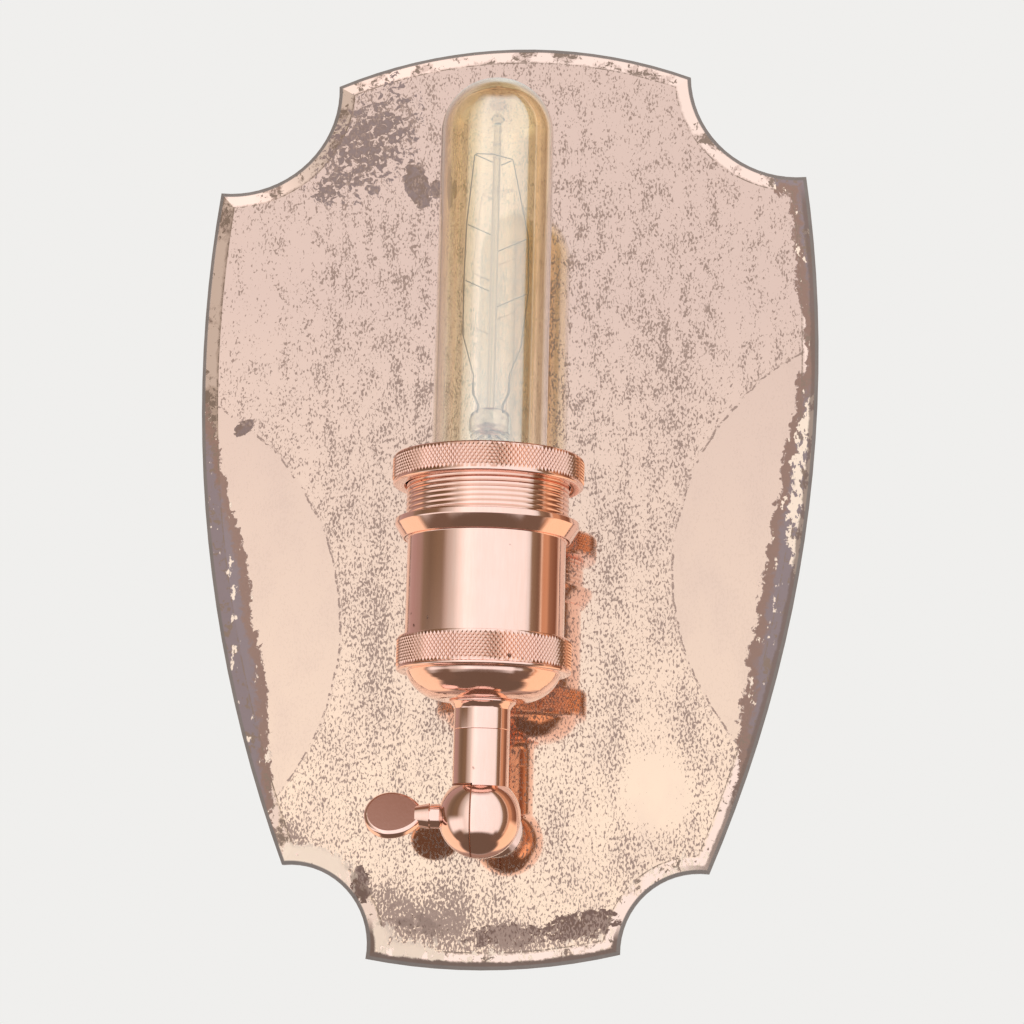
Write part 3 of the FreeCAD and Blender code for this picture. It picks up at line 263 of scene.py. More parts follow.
slotted_screws(
    "slotted_strap_screws", "strap_screws", STRAP_HEAD, 2, 2, (0, 0, 0),
    (STRAP_HEAD - 0.3, 0), (STRAP_HEAD - 0.12, -0.1), (STRAP_HEAD - 0.66, -0.8),
    [(STRAP_SHANK, -2), (STRAP_SHANK, 3 - STRAP_LENGTH), (0.2, -STRAP_LENGTH)],
)

# Shield mirror: 5 mm plate glass, cut to a shield with scooped corners and bevelled all round by
# hand, silvered on the back. Age has foxed the silver and eaten it away along the rim.
RIM = (  # corner across and up from the middle of the hanging line, and the bow of the edge after it
    (51.7, 58.4, 10.08), (-51.7, 55.3, -10.84), (-85.4, 22.4, 12.83), (-59.5, -172.5, -8.72),
    (-35.2, -197.8, 3.67), (35.2, -195, -7.51), (59.5, -172.5, 13.63), (85.4, 28.3, -9.78),
)

# Foxed silvered glass: a peach mirror under clear glass, flecked with brown and mauve where the
# silver has gone, and dull grey-mauve with pale flakes where it has lifted along the rim
foxed_mirror, add, place = new_material("foxed_silvered_glass")
split = add("SeparateXYZ", (place,))
across, up = split.outputs["X"], split.outputs["Z"]
flat = add("CombineXYZ", {"X": across, "Z": up})

# Distance in from the rim: the least of the distances to its eight arcs
rim_gap = 1.0
for (x0, z0, bow), (x1, z1, _) in zip(RIM, RIM[1:] + RIM[:1]):
    start, end = Vector((x0, z0)), Vector((x1, z1))
    chord = end - start
    radius = chord.length ** 2 / (8 * abs(bow)) + abs(bow) / 2
    inward = Vector((-chord.y, chord.x)).normalized()
    centre = (start + end) / 2 + inward * math.copysign(radius - abs(bow), bow)
    reach = add("VectorMath DISTANCE", (flat, (centre.x * MM, 0, centre.y * MM)))
    pair = (radius * MM, reach) if bow > 0 else (reach, radius * MM)
    gap = add("Math SUBTRACT", pair)
    rim_gap = add("Math MINIMUM", (rim_gap, gap))

# Ragged line that the loss follows: blotches of 9 mm with teeth of 2 mm
blotches = add("TexNoise", (flat, 1 / (9 * MM), 6, 0.62))
teeth = add("TexNoise", {
    "Vector": flat, "Scale": 1 / (2 * MM), "Detail": 3, "Roughness": 0.65, "Distortion": 0.9,
})
ragged = add("Math MULTIPLY_ADD", (blotches, 8 * MM, -6.5 * MM))
ragged = add("Math MULTIPLY_ADD", (teeth, 5 * MM, ragged))
ragged_gap = add("Math ADD", (rim_gap, ragged))


def beyond_line(middle, half, width):
    """How far a point lies inside a bulge along the rim, of a middle, half height and width in mm."""
    level = add("Math SUBTRACT", (up, middle * MM))
    level = add("Math DIVIDE", (level, half * MM))
    level = add("Math MULTIPLY", (level, level))
    reach = add("Math MULTIPLY_ADD", (level, -width * MM, width * MM))
    return add("Math SUBTRACT", (reach, ragged_gap))


# Lifted bands along the rim: side, middle height, half height, greatest width and least distance
# from the middle, in millimetres. Each frays into brown where it meets sound silver.
lost = frayed = 0.0
for side, middle, half, width, least in (
    (-1, -102, 64, 10.5, 30), (1, -84, 74, 10, 30), (1, 12, 52, 6, 76),
):
    beyond = beyond_line(middle, half, width)
    sided = add("Math MULTIPLY", (across, side))
    sided = add("Math GREATER_THAN", (sided, least * MM))
    band = add("MapRange SMOOTHSTEP", (beyond, -0.3 * MM, 0.3 * MM, 0, sided))
    fray = add("MapRange SMOOTHSTEP", (beyond, 3.8 * MM, 2 * MM, 0, band))
    lost = add("Math MAXIMUM", (lost, band))
    frayed = add("Math MAXIMUM", (frayed, fray))


def from_middle(x, z, wide, high, lean=0):
    """How far a point lies from the middle of a leaning oval in mm, where 1 is its edge."""
    spot = add("Mapping", {
        "Vector": flat, "Location": (x * MM, 0, z * MM), "Rotation": (0, -math.radians(lean), 0),
        "Scale": (wide * MM, 1, high * MM),
    }, vector_type="TEXTURE")
    return add("VectorMath LENGTH", (spot,))


# Stains with worm-like pale holes: middle across and up, half sizes and lean in degrees, and how
# much of the stain is left. A large one lies upper left, with two blots, and wedges along the foot.
worms = add("TexNoise", {
    "Vector": flat, "Scale": 1 / (2 * MM), "Detail": 3, "Roughness": 0.6, "Distortion": 0.8,
})
stained = 0.0
for *oval, kept in (
    (-42, 37, 21, 12.5, 55, 0.56), (-52.5, 24, 8, 5.5, 20, 0.55), (-36, 55, 6, 5, 60, 0.47),
    (-27.6, 24.8, 6, 2.7, 108, 0.85), (-22, 23.6, 2.4, 1.3, 98, 0.85), (4, -190.5, 12, 3, 4, 0.66),
    (-20, -188.5, 8, 2.6, -6, 0.6), (24, -187.3, 10, 3.6, 12, 0.68), (-37, -177.5, 2.4, 4.4, 10, 0.75),
    (-75.5, -48.3, 2.4, 1.4, 40, 0.9),
):
    span = add("Math POWER", (from_middle(*oval), 3))
    span = add("Math MULTIPLY_ADD", (span, 0.16, worms))
    stain = add("MapRange SMOOTHSTEP", (span, kept + 0.03, kept - 0.03))
    stained = add("Math MAXIMUM", (stained, stain))

# Clean lens-shaped patches left and right, each a circle's inside, with a broken line round it
clean = seams = 0.0
for x, z, radius in ((-119.8, -107, 74.5), (121.1, -87.4, 73)):
    reach = add("VectorMath DISTANCE", (flat, (x * MM, 0, z * MM)))
    reach = add("Math MULTIPLY_ADD", (ragged, 0.3, reach))
    lens = add("MapRange SMOOTHSTEP", (reach, (radius + 1) * MM, (radius - 0.3) * MM))
    seam = add("Math COMPARE", (reach, radius * MM, 0.3 * MM))
    clean = add("Math MAXIMUM", (clean, lens))
    seams = add("Math MAXIMUM", (seams, seam))

# Flecks: upright strokes about 0.3 mm wide and 0.6 mm long, in drifts that hang like drips. They
# lie closest round the arm, and over the foot they nearly join.
drips = add("Mapping", {"Vector": flat, "Rotation": (0, 0.12, 0), "Scale": (1, 1, 0.55)})
strokes = add("TexNoise", {"Vector": drips, "Scale": 1 / (0.58 * MM), "Detail": 2, "Distortion": 0.5})
drifts = add("TexNoise", (drips, 1 / (13 * MM), 6, 0.62))
runs = add("Mapping", {"Vector": drips, "Scale": (1, 1, 0.2)})
runs = add("TexNoise", (runs, 1 / (7 * MM), 4))
reach = add("VectorMath DISTANCE", (flat, (3 * MM, 0, -115 * MM)))
density = add("MapRange", (reach, 35 * MM, 170 * MM, -0.165, -0.2))
density = add("Math MULTIPLY_ADD", (drifts, 0.3, density))
density = add("Math MULTIPLY_ADD", (runs, 0.2, density))

# Higher up, the flecks gather into clumps of about 3 mm
clumps = add("TexNoise", (drips, 1 / (3.2 * MM), 2))
clumps = add("Math SUBTRACT", (clumps, 0.51))
gather = add("MapRange", (up, -120 * MM, -20 * MM, 0, 0.5))
density = add("Math MULTIPLY_ADD", (clumps, gather, density))

# Heavier and lighter drifts: middle across and up, half width and height, and change of density
for *oval, change in (
    (-35, -104, 10, 30, 0.05), (-18, -183, 22, 10, 0.09), (44, -151, 12, 12, -0.16),
    (-72, -10, 18, 40, -0.06), (72, -5, 16, 30, -0.06),
):
    patch = add("MapRange SMOOTHSTEP", (from_middle(*oval), 1.15, 0.4, 0, change))
    density = add("Math ADD", (density, patch))
sag = add("Math SUBTRACT", (across, 10 * MM))
sag = add("Math MULTIPLY", (sag, sag))
foot_line = add("Math MULTIPLY_ADD", (sag, 6, -188 * MM))
foot_line = add("Math MULTIPLY_ADD", (ragged, 1.2, foot_line))
below = add("Math SUBTRACT", (foot_line, up))
foot = add("MapRange SMOOTHSTEP", (below, -3 * MM, 3 * MM, 0, 0.1))
density = add("Math ADD", (density, foot))
flecks = add("Math ADD", (strokes, density))
flecks = add("MapRange SMOOTHSTEP", (flecks, 0.585, 0.70))
spared = add("Math MULTIPLY_ADD", (clean, -0.94, 1))
flecks = add("Math MULTIPLY", (flecks, spared))
dashes = add("MapRange", (worms, 0.47, 0.52, 0, seams))
flecks = add("Math MAXIMUM", (flecks, dashes))

# Flakes: cream paint of the backing shows through as chips in the lifted bands and along the foot,
# and as a broken strip beside the right-hand rim
chips = add("TexNoise", (drips, 1 / (3 * MM), 4, 0.65))
right_side = add("Math GREATER_THAN", (across, 0.0))
strip = beyond_line(-62, 30, 6.5)
strip = add("MapRange SMOOTHSTEP", (strip, -0.3 * MM, 0.4 * MM, 0, right_side))
hem = add("MapRange", (rim_gap, 9 * MM, 5 * MM))
low_down = add("MapRange", (up, -184 * MM, -190 * MM))
outward = add("Math ABSOLUTE", (across,))
scoops = add("MapRange", (outward, 36 * MM, 44 * MM))
scoops = add("MapRange", (up, -164 * MM, -168 * MM, 0, scoops))
low_down = add("Math MAXIMUM", (low_down, scoops))
hem = add("Math MULTIPLY", (hem, low_down))
leftward = add("MapRange", (across, -12 * MM, -20 * MM, 0.05, 0.2))
leftward = add("Math MULTIPLY_ADD", (scoops, 0.03, leftward))
showing = add("Math MULTIPLY_ADD", (hem, leftward, chips))
showing = add("Math MULTIPLY_ADD", (strip, 0.14, showing))
flaked = add("MapRange SMOOTHSTEP", (showing, 0.605, 0.63))
worn = add("Math MAXIMUM", (lost, hem))
flaked = add("Math MULTIPLY", (flaked, worn))

# Browned rim: the last 2 mm of the bevel at the right and along the foot, with a ragged inner edge
wavy_gap = add("Math MULTIPLY_ADD", (ragged, 0.25, rim_gap))
brown_side = add("MapRange", (across, 50 * MM, 60 * MM, 0, 0.8))
brown_side = add("MapRange", (up, 26 * MM, 20 * MM, 0, brown_side))
brown_foot = add("MapRange", (up, -186 * MM, -191 * MM))
brown_where = add("Math MAXIMUM", (brown_side, brown_foot))
browned = add("MapRange SMOOTHSTEP", (wavy_gap, 2.6 * MM, 1.9 * MM, 0, brown_where))

# Bevel: bright cream in long patches and eaten to brown specks between them, with a fine line where
# it meets the face
bevel = add("MapRange", (wavy_gap, 4.7 * MM, 4.1 * MM))
pale = add("MapRange", (blotches, 0.43, 0.49, 0, bevel))
flecks = add("Math SUBTRACT", (flecks, pale), use_clamp=True)
eaten = add("Math MULTIPLY_ADD", (blotches, -1.1, 0.5))
eaten = add("Math ADD", (eaten, teeth))
eaten = add("MapRange", (eaten, 0.54, 0.58, 0, bevel))
line = add("Math COMPARE", (rim_gap, 4.75 * MM, 0.17 * MM))
line = add("MapRange", (teeth, 0.42, 0.56, 0, line))
eaten = add("Math MAXIMUM", (eaten, line))

# Ground rim: the sawn side of the glass and the last millimetre of the bevel are grey and dull
normal = add("NewGeometry").outputs["Normal"]
side_on = add("SeparateXYZ", (normal,)).outputs["Y"]
side_on = add("Math GREATER_THAN", (side_on, -0.6))
arris = add("MapRange SMOOTHSTEP", (rim_gap, 1.25 * MM, 0.85 * MM))
ground = add("Math MAXIMUM", (side_on, arris))
chalky = add("Mix RGBA", (blotches, "#5F5550", "#837771"))

# Colours, one over the other from the silver to the ground rim, and the dullness of each
# Painted reflection: the silver runs from a warm pale peach at the foot to a greyer pink higher up, standing
# in for a warmer reflection low down. The same rise makes the stains browner towards the foot.
reflection_and_stain_rise = add("MapRange", (up, -150 * MM, -10 * MM))
colour = add("Mix RGBA", (reflection_and_stain_rise, "#EED0B7", "#D0B3A6"))
lens_haze = add("Math MULTIPLY", (clean, 0.3))
cloud = add("MapRange", (drifts, 0.45, 0.75, 0, 0.35))
shade = add("Mix RGBA", (teeth, "#80665A", "#AA8F82"))
bruise = add("MapRange", (worms, 0.4, 0.58))
bruise = add("Mix RGBA", (bruise, "#836D69", "#7B6153"))
browner = add("Math MULTIPLY_ADD", (reflection_and_stain_rise, -0.75, 0.75))
bruise = add("Mix RGBA", (browner, bruise, "#5D3926"))
dull = 0.0
for cover, over, dulling in (
    (cloud, "#CDB2A5", 0), (lens_haze, "#CBAE9F", 0), (pale, "#EFD2C4", 0),
    (lost, "#847274", 1), (frayed, "#8A6A5C", 1), (stained, bruise, 0.8),
    (flecks, shade, 0.22), (eaten, "#826B5C", 0.5), (flaked, "#F4DECB", 1),
    (browned, "#6B5347", 0.8), (ground, chalky, 1),
):
    colour = add("Mix RGBA", (cover, colour, over))
    if dulling:
        part = add("Math MULTIPLY", (cover, dulling))
        dull = add("Math MAXIMUM", (dull, part))
bright = add("Math SUBTRACT", (1.0, dull))
rough = add("MapRange", (dull, 0, 1, 0.035, 0.55))
ripple = add("TexNoise", (flat, 1 / (45 * MM), 1))
waves = add("Bump", {"Height": ripple, "Strength": 0.2, "Distance": 0.6 * MM})
mirror = add("BsdfPrincipled", {
    "Base Color": colour, "Metallic": bright, "Roughness": rough, "Normal": waves, "Coat Weight": 0.6,
    "Coat Roughness": 0.02, "Coat IOR": 1.52,
})
add("OutputMaterial", {"Surface": mirror})
dress(foxed_mirror, "mirror_glass")

# Bush, gasket and friction washer: a turned nylon bush lines the hole in the glass, a rubber ring
# cushions the arm's flange on the mirror, and a nylon washer lets the ball's halves turn.


def mottled(name, size, detail, colours, surface, dents=None, gloss=None):
    """A material in clouds of a size in millimetres, which run between two colours and, where they are
    given, two roughnesses, and raise dents of a strength and a depth in millimetres."""
    material, add, place = new_material(name)
    cloud = add("TexNoise", (place, 1 / (size * MM), detail))
    surface["Base Color"] = add("Mix RGBA", (cloud, *colours))
    if gloss:
        surface["Roughness"] = add("MapRange", (cloud, 0, 1, *gloss))
    if dents:
        strength, depth = dents
        surface["Normal"] = add("Bump", {"Height": cloud, "Strength": strength, "Distance": depth * MM})
    skin = add("BsdfPrincipled", surface)
    add("OutputMaterial", {"Surface": skin})
    return material


# Natural nylon: milky cream, a little translucent, with a faintly uneven skin
nylon = mottled("natural_nylon", 2, 3, ("#F0EBDC", "#DDD6C2"), {
    "Roughness": 0.42, "Subsurface Weight": 0.15, "Subsurface Scale": 1 * MM,
}, dents=(0.2, 0.05))
dress(nylon, "glass_bush", "friction_washer")

# Black rubber: near black and matt, with a greyish bloom
rubber = mottled(
    "moulded_black_rubber", 0.8, 4, ("#1B1A19", "#34312F"), {"Roughness": 0.7}, dents=(0.4, 0.1),
)
dress(rubber, "glass_gasket")

# Arm fixings behind the panel: the hollow threaded rod through arm and panel, with a star washer
# and a hexagon nut that draw it tight. All are zinc-plated steel.
arm_low, arm_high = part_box("standoff_tube")
ARM_AXIS = Matrix.Translation((0, 0, (arm_low.z + arm_high.z) / 2)) @ BACKWARD
NIPPLE_HOLE, NIPPLE_BORE = 5.1, 3.6
NIPPLE_PITCH, NIPPLE_CUT, NIPPLE_THREAD = 1, 0.5, 10


def turned(outline, steps):
    """An outline of (radius, height) points in millimetres turned about the upright axis."""
    work = bmesh.new()
    work.verts.layers.float.new("groove")
    points = [work.verts.new((radius * MM, 0, height * MM)) for radius, height in outline]
    line = [work.edges.new(pair) for pair in zip(points, points[1:])]
    bmesh.ops.spin(
        work, geom=points + line, axis=(0, 0, 1), angle=2 * math.pi, steps=steps, use_merge=True,
    )
    return work


def rolled_band(work, steps, levels, radius_at):
    """Rings of points from level to level, each at its own radius and depth in the groove."""
    groove = work.verts.layers.float["groove"]
    rings = []
    for j, height in enumerate(levels):
        ring = []
        for i in range(steps):
            angle = 2 * math.pi * i / steps
            radius, depth = radius_at(i, j, height)
            spot = Vector((radius * math.cos(angle), radius * math.sin(angle), height))
            ring.append(work.verts.new(spot * MM))
            ring[-1][groove] = depth
        rings.append(ring)
    for j in range(len(levels) - 1):
        for i in range(steps):
            a, b = rings[j][i], rings[j][(i + 1) % steps]
            c, d = rings[j + 1][(i + 1) % steps], rings[j + 1][i]
            for corners in ((a, b, c), (a, c, d)) if (i + j) % 2 == 0 else ((a, b, d), (b, c, d)):
                work.faces.new(corners)


def threaded(outline, radius, low, high, pitch, cut, steps=96, rows=8, rounded=False):
    """A turned piece whose outline runs from the top of a screw thread round to its foot."""
    count = round((high - low) / pitch * rows)
    work = turned([(radius, high), *outline, (radius, low)], steps)

    def radius_at(i, j, height):
        turn = (height / pitch - i / steps) % 1
        dip = min(1, max(0, 1.5 - abs(4 * turn - 2)))
        if rounded:
            dip = 0.5 - 0.5 * math.cos(2 * math.pi * turn)
        fade = min(1, j / rows, (count - j) / rows)
        return radius - cut * dip * fade, dip * fade

    rolled_band(work, steps, [low + (high - low) * j / count for j in range(count + 1)], radius_at)
    return work


rod_low, rod_high = (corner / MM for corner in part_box("wall_nipple"))
rod_outline = [
    (4.4, rod_high.y), (NIPPLE_BORE, rod_high.y), (NIPPLE_BORE, rod_low.y), (rod_high.x, rod_low.y),
]
rod_work = threaded(
    rod_outline, rod_high.x, rod_high.y - NIPPLE_THREAD, rod_high.y - 0.4, NIPPLE_PITCH, NIPPLE_CUT, 64, 6,
)
finish_piece(
    "threaded_nipple", rod_work, ARM_AXIS, zinc_plate, "wall_frame", "zinc_plated_steel", "wall_nipple",
)

star_low, star_high = (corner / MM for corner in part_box("lock_washer"))
STAR_BODY, STAR_GAP, STAR_STEPS = 6.2, 6.5, 80
star_work = turned([
    (STAR_BODY, star_high.y), (NIPPLE_HOLE, star_high.y), (NIPPLE_HOLE, star_low.y),
    (STAR_BODY, star_low.y),
], STAR_STEPS)
rolled_band(
    star_work, STAR_STEPS, (star_low.y, star_low.y, star_high.y, star_high.y),
    lambda i, j, height: (STAR_BODY if j in (0, 3) else star_high.x if i % 8 < 5 else STAR_GAP, 0),
)
finish_piece(
    "star_washer", star_work, ARM_AXIS, zinc_plate, "wall_frame", "zinc_plated_steel", "lock_washer",
)

nut_low, nut_high = (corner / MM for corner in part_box("wall_nut"))
half_flat = (nut_high.z - nut_low.z) / 2
face_radius = 0.97 * half_flat
NUT_STEPS, NUT_EASE = 72, 0.5
nut_work = turned([
    (face_radius, nut_high.y), (NIPPLE_HOLE + NUT_EASE, nut_high.y), (NIPPLE_HOLE, nut_high.y - NUT_EASE),
    (NIPPLE_HOLE, nut_low.y + NUT_EASE), (NIPPLE_HOLE + NUT_EASE, nut_low.y), (face_radius, nut_low.y),
], NUT_STEPS)


def nut_radius(i, j, height):
    """Flats of a hexagon, with the corners turned off to a cone at both faces."""
    from_flat = (2 * math.pi * i / NUT_STEPS) % (math.pi / 3) - math.pi / 6
    cone = face_radius + 1.7 * min(height - nut_low.y, nut_high.y - height)
    return min(half_flat / math.cos(from_flat), cone), 0


nut_rows = [0, 0.1, 0.2, 0.3, 0.45, 0.6, 0.75, 1.2]
nut_levels = [nut_low.y + row for row in nut_rows] + [nut_high.y - row for row in reversed(nut_rows)]
rolled_band(nut_work, NUT_STEPS, nut_levels, nut_radius)
finish_piece(
    "hexagon_nut", nut_work, ARM_AXIS, zinc_plate, "wall_frame", "zinc_plated_steel", "wall_nut",
)

# Terminal block, its screws and brass inserts: a moulded block of three poles, with a clamp screw
# at each end of a pole, and two slotted pan-head screws that hold it to the panel.
# White polyamide: warm white, half gloss, faintly uneven from the mould
polyamide = mottled(
    "moulded_white_polyamide", 1.5, 3, ("#F4F1E8", "#E4E0D3"), {"Roughness": 0.38}, dents=(0.15, 0.08),
)
dress(polyamide, "terminal_block")

# Raw brass: yellow gold with brown tarnish in clouds
brass = mottled(
    "raw_brass", 3, 5, ("#E6C884", "#B48F4C"), {"Metallic": 1}, dents=(0.12, 0.1), gloss=(0.16, 0.42),
)
dress(brass, "terminal_inserts", "earth_tag", "holder_screws", "screw_shell", "centre_contact")

PAN_HEAD, PAN_SHANK, CLAMP_HEAD = 2.4, 1.3, 1.4
AS_DRIVEN = (0.9, 1.3, 0.7)  # angle of the first slot, and what each further column and row adds
slotted_screws(
    "slotted_block_screws", "block_screws", PAN_HEAD, 2, 1, AS_DRIVEN,
    (PAN_HEAD - 0.9, 0), (PAN_HEAD - 0.2, -0.35), (PAN_HEAD, -0.85),
    [(PAN_HEAD, -1.8), (PAN_SHANK, -1.8), (PAN_SHANK, -8.8), (0.2, -10.8)],
)
slotted_screws(
    "slotted_clamp_screws", "terminal_screws", CLAMP_HEAD, 3, 2, AS_DRIVEN,
    (CLAMP_HEAD - 0.15, 0), (CLAMP_HEAD, -0.12), (CLAMP_HEAD, -0.5), [(CLAMP_HEAD, -2.4)],
)

# Wires: single cores in coloured insulation, from the terminal block through the hollow arm, and
# from the knuckle up into the lampholder. The earth wire ends on the brass tag.
for label, main, second, wires in (
    ("brown_insulation", "#5B3522", "#4C2B1B", ("live_wire", "head_live_wire")),
    ("blue_insulation", "#2E63A8", "#275592", ("neutral_wire", "head_neutral_wire")),
    ("green_yellow_insulation", "#2F8A3E", "#E7C92E", ("earth_wire",)),
):
    # Insulation: a half-gloss plastic skin, with a second colour as a stripe along one side
    insulation, add, place = new_material(label)
    normal = add("TexCoord").outputs["Normal"]
    stripe = add("SeparateXYZ", (normal,)).outputs["X"]
    stripe = add("MapRange", (stripe, 0.15, 0.25))
    skin = add("TexNoise", (place, 1 / (0.7 * MM), 3))
    colour = add("Mix RGBA", (stripe, main, second))
    draw = add("Bump", {"Height": skin, "Strength": 0.2, "Distance": 0.05 * MM})
    sheath = add("BsdfPrincipled", {"Base Color": colour, "Roughness": 0.4, "Normal": draw})
    add("OutputMaterial", {"Surface": sheath})
    dress(insulation, *wires)

# Arm and knuckle: a copper-plated tube with a flange on the gasket, and a ball split in two halves
# that turn on each other, clamped by a thumbscrew with a flat paddle.
# Polished copper plate: a pink-gold mirror with faint polishing haze and a few dark pin-holes,
# and darker brown in the grooves of knurls and threads, partly tarnish and partly painted shade
copper, add, place = new_material("polished_copper_plate")
haze = add("TexNoise", (place, 1 / (9 * MM), 4))
wipe = add("Mapping", {"Vector": place, "Scale": (1, 1, 0.08)})
wipe = add("TexNoise", (wipe, 1 / (0.5 * MM), 3))
shaken = add("TexNoise", (place, 1 / (0.7 * MM), 2))
shaken = add("VectorMath MULTIPLY_ADD", (shaken.outputs["Color"], (0.8 * MM,) * 3, place))
cells = add("TexVoronoi", (shaken, 1 / (4.2 * MM)))
chance = add("SeparateColor", (cells.outputs["Color"],)).outputs["Red"]
hole = add("Math MULTIPLY_ADD", (chance, 0.3, -0.155))
hole = add("Math SUBTRACT", (hole, cells.outputs["Distance"]))
hole = add("MapRange", (hole, -0.02, 0.06, 0, 0.8))
tone = add("Math ADD", (haze, wipe))
tone = add("Math MULTIPLY", (tone, 0.5))
# Groove depth sets the browning: partly tarnish in the hollows, partly painted shade
groove = add("Attribute", attribute_name="groove").outputs["Fac"]
groove = add("MapRange", (groove, 0.2, 1, 0, 0.55))
colour = add("Mix RGBA", (tone, "#FAD9CF", "#F3C5B4"))
for cover, over in ((groove, "#B4754F"), (hole, "#5A3424")):
    colour = add("Mix RGBA", (cover, colour, over))
gloss = add("MapRange", (tone, 0.35, 0.65, 0.05, 0.12))
gloss = add("Math MULTIPLY_ADD", (hole, 0.4, gloss))
lines = add("Bump", {"Height": wipe, "Strength": 0.03, "Distance": 0.1 * MM})
metal = add("BsdfPrincipled", {"Base Color": colour, "Metallic": 1, "Roughness": gloss, "Normal": lines})
add("OutputMaterial", {"Surface": metal})
dress(copper, "standoff_tube", "knuckle_rear_half", "knuckle_stem_half", "thumbscrew")

# Knuckle liners: a thin ring of spring bronze between the rims of the ball's halves, and a dished
# lip under the stem's foot. They show as brown lines along the joint.
# Spring bronze: brown-gold, darker where it is stained by handling
bronze = mottled("spring_bronze", 2, 4, ("#C07A58", "#8A4F38"), {"Metallic": 0.4, "Roughness": 0.45})

lamp_low, lamp_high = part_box("bulb_glass")
pivot = Vector((0, (lamp_low.y + lamp_high.y) / 2, (arm_low.z + arm_high.z) / 2))
UPRIGHT = Matrix.Translation(pivot)
washer_low, washer_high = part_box("friction_washer")
seam_place = Matrix.Translation((washer_low + washer_high) / 2) @ Matrix.Rotation(math.pi / 2, 4, "Y")
LINER_INNER, LINER_OUTER, LINER_HALF = 8.6, 10.15, 0.13
liner_work = turned([
    (LINER_INNER, -LINER_HALF), (LINER_OUTER, -LINER_HALF), (LINER_OUTER, LINER_HALF),
    (LINER_INNER, LINER_HALF), (LINER_INNER, -LINER_HALF),
], 96)
finish_piece("friction_liner", liner_work, seam_place, bronze, "wall_frame", "copper_plate")

LIP_REACHES = (4.6, 5.2, 5.8, 6.5, 7.18)  # from the stem's axis
LIP_INNER, LIP_OUTER, LIP_FROM_AXIS = 10.64, 10.8, 1.95
lip_work = bmesh.new()
lip_rows = []
for reach, shell in [(r, LIP_INNER) for r in LIP_REACHES] + [(r, LIP_OUTER) for r in reversed(LIP_REACHES)]:
    half = math.acos(LIP_FROM_AXIS / reach)
    angles = [math.pi + half * k / 16 for k in range(-16, 17)]
    height = math.sqrt(shell ** 2 - reach ** 2)
    spots = [Vector((reach * math.cos(a), reach * math.sin(a), height)) * MM for a in angles]
    lip_rows.append([lip_work.verts.new(spot) for spot in spots])
for here, there in zip(lip_rows, lip_rows[1:] + lip_rows[:1]):
    for k in range(32):
        lip_work.faces.new((here[k], here[k + 1], there[k + 1], there[k]))
lip_work.faces.new([row[0] for row in lip_rows])
lip_work.faces.new([row[-1] for row in lip_rows])
finish_piece("stem_lip", lip_work, UPRIGHT, bronze, "lamp_head", "copper_plate")

# Stem coupling: a turned copper-plated collar between the ball's stem and the cap, flared at its
# top. Its eased ends leave a fine groove where it meets the stem and the dome.
neck_low, neck_high = ((corner - pivot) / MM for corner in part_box("stem_coupling"))
STEM_RADIUS = 7.2


def bowed(start, end, radius, count=14):
    """Points after start on an arc to end that bows to the right of its way; negative bows left."""
    start, end = Vector(start), Vector(end)
    chord = end - start
    right = Vector((chord.y, -chord.x)).normalized() * math.copysign(1, radius)
    centre = (start + end) / 2 - right * math.sqrt(radius ** 2 - (chord.length / 2) ** 2)
    first, last = start - centre, end - centre
    sweep = first.angle_signed(last)
    turns = [Matrix.Rotation(-sweep * k / count, 2) for k in range(1, count)]
    return [tuple(centre + turn @ first) for turn in turns] + [tuple(end)]


def eased(outline, radius=0.25):
    """An open outline with its inner corners rounded off, as polishing leaves them."""
    points = [Vector(point) for point in outline]
    soft = [points[0]]
    for before, corner, after in zip(points, points[1:], points[2:]):
        back, ahead = before - corner, after - corner
        cut = min(radius, back.length * 0.4, ahead.length * 0.4)
        start, end = corner + back.normalized() * cut, corner + ahead.normalized() * cut
        for t in (0, 0.25, 0.5, 0.75, 1):
            soft.append(start * (1 - t) ** 2 + corner * 2 * t * (1 - t) + end * t ** 2)
    return soft + [points[-1]]


flare_foot = (STEM_RADIUS, neck_low.z + 5.4)
coupling_outline = [
    (NIPPLE_HOLE, neck_low.z + 1), (NIPPLE_HOLE, neck_low.z), (STEM_RADIUS, neck_low.z), flare_foot,
    *bowed(flare_foot, (neck_high.x, neck_high.z - 0.5), -4, 6), (neck_high.x, neck_high.z),
    (NIPPLE_HOLE, neck_high.z), (NIPPLE_HOLE, neck_low.z + 1),
]
coupling_work = turned(eased(coupling_outline, 0.3), 96)
finish_piece("flared_coupling", coupling_work, UPRIGHT, copper, "lamp_head", "copper_plate", "stem_coupling")

# Lampholder cap: a spun dome with a rolled ring, copper plated. The ring carries a diamond knurl
# for the fingers, and the cap is clamped on the stem's hollow thread by a nut inside.
cap_low, cap_high = ((corner - pivot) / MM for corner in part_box("lampholder_cap"))
BORE, CAP_INSIDE, CAP_WALL, DOME_FOOT = 20.65, 17.4, 1.8, 9
KNURL_WIDTH, KNURL_HEIGHT, KNURL_DEPTH = 1.15, 1.6, 0.3


def knurled(outline, radius, low, high):
    """A turned piece whose outline runs from the top of a knurled band round to its foot."""
    steps = 2 * round(2 * math.pi * radius / KNURL_WIDTH)
    rows = 2 * round((high - low) / KNURL_HEIGHT)
    work = turned([(radius - KNURL_DEPTH, high), *outline, (radius - KNURL_DEPTH, low)], steps)

    def radius_at(i, j, height):
        return (radius, 0) if (i + j) % 2 and 0 < j < rows else (radius - KNURL_DEPTH, 1)

    rolled_band(work, steps, [low + (high - low) * j / rows for j in range(rows + 1)], radius_at)
    return work


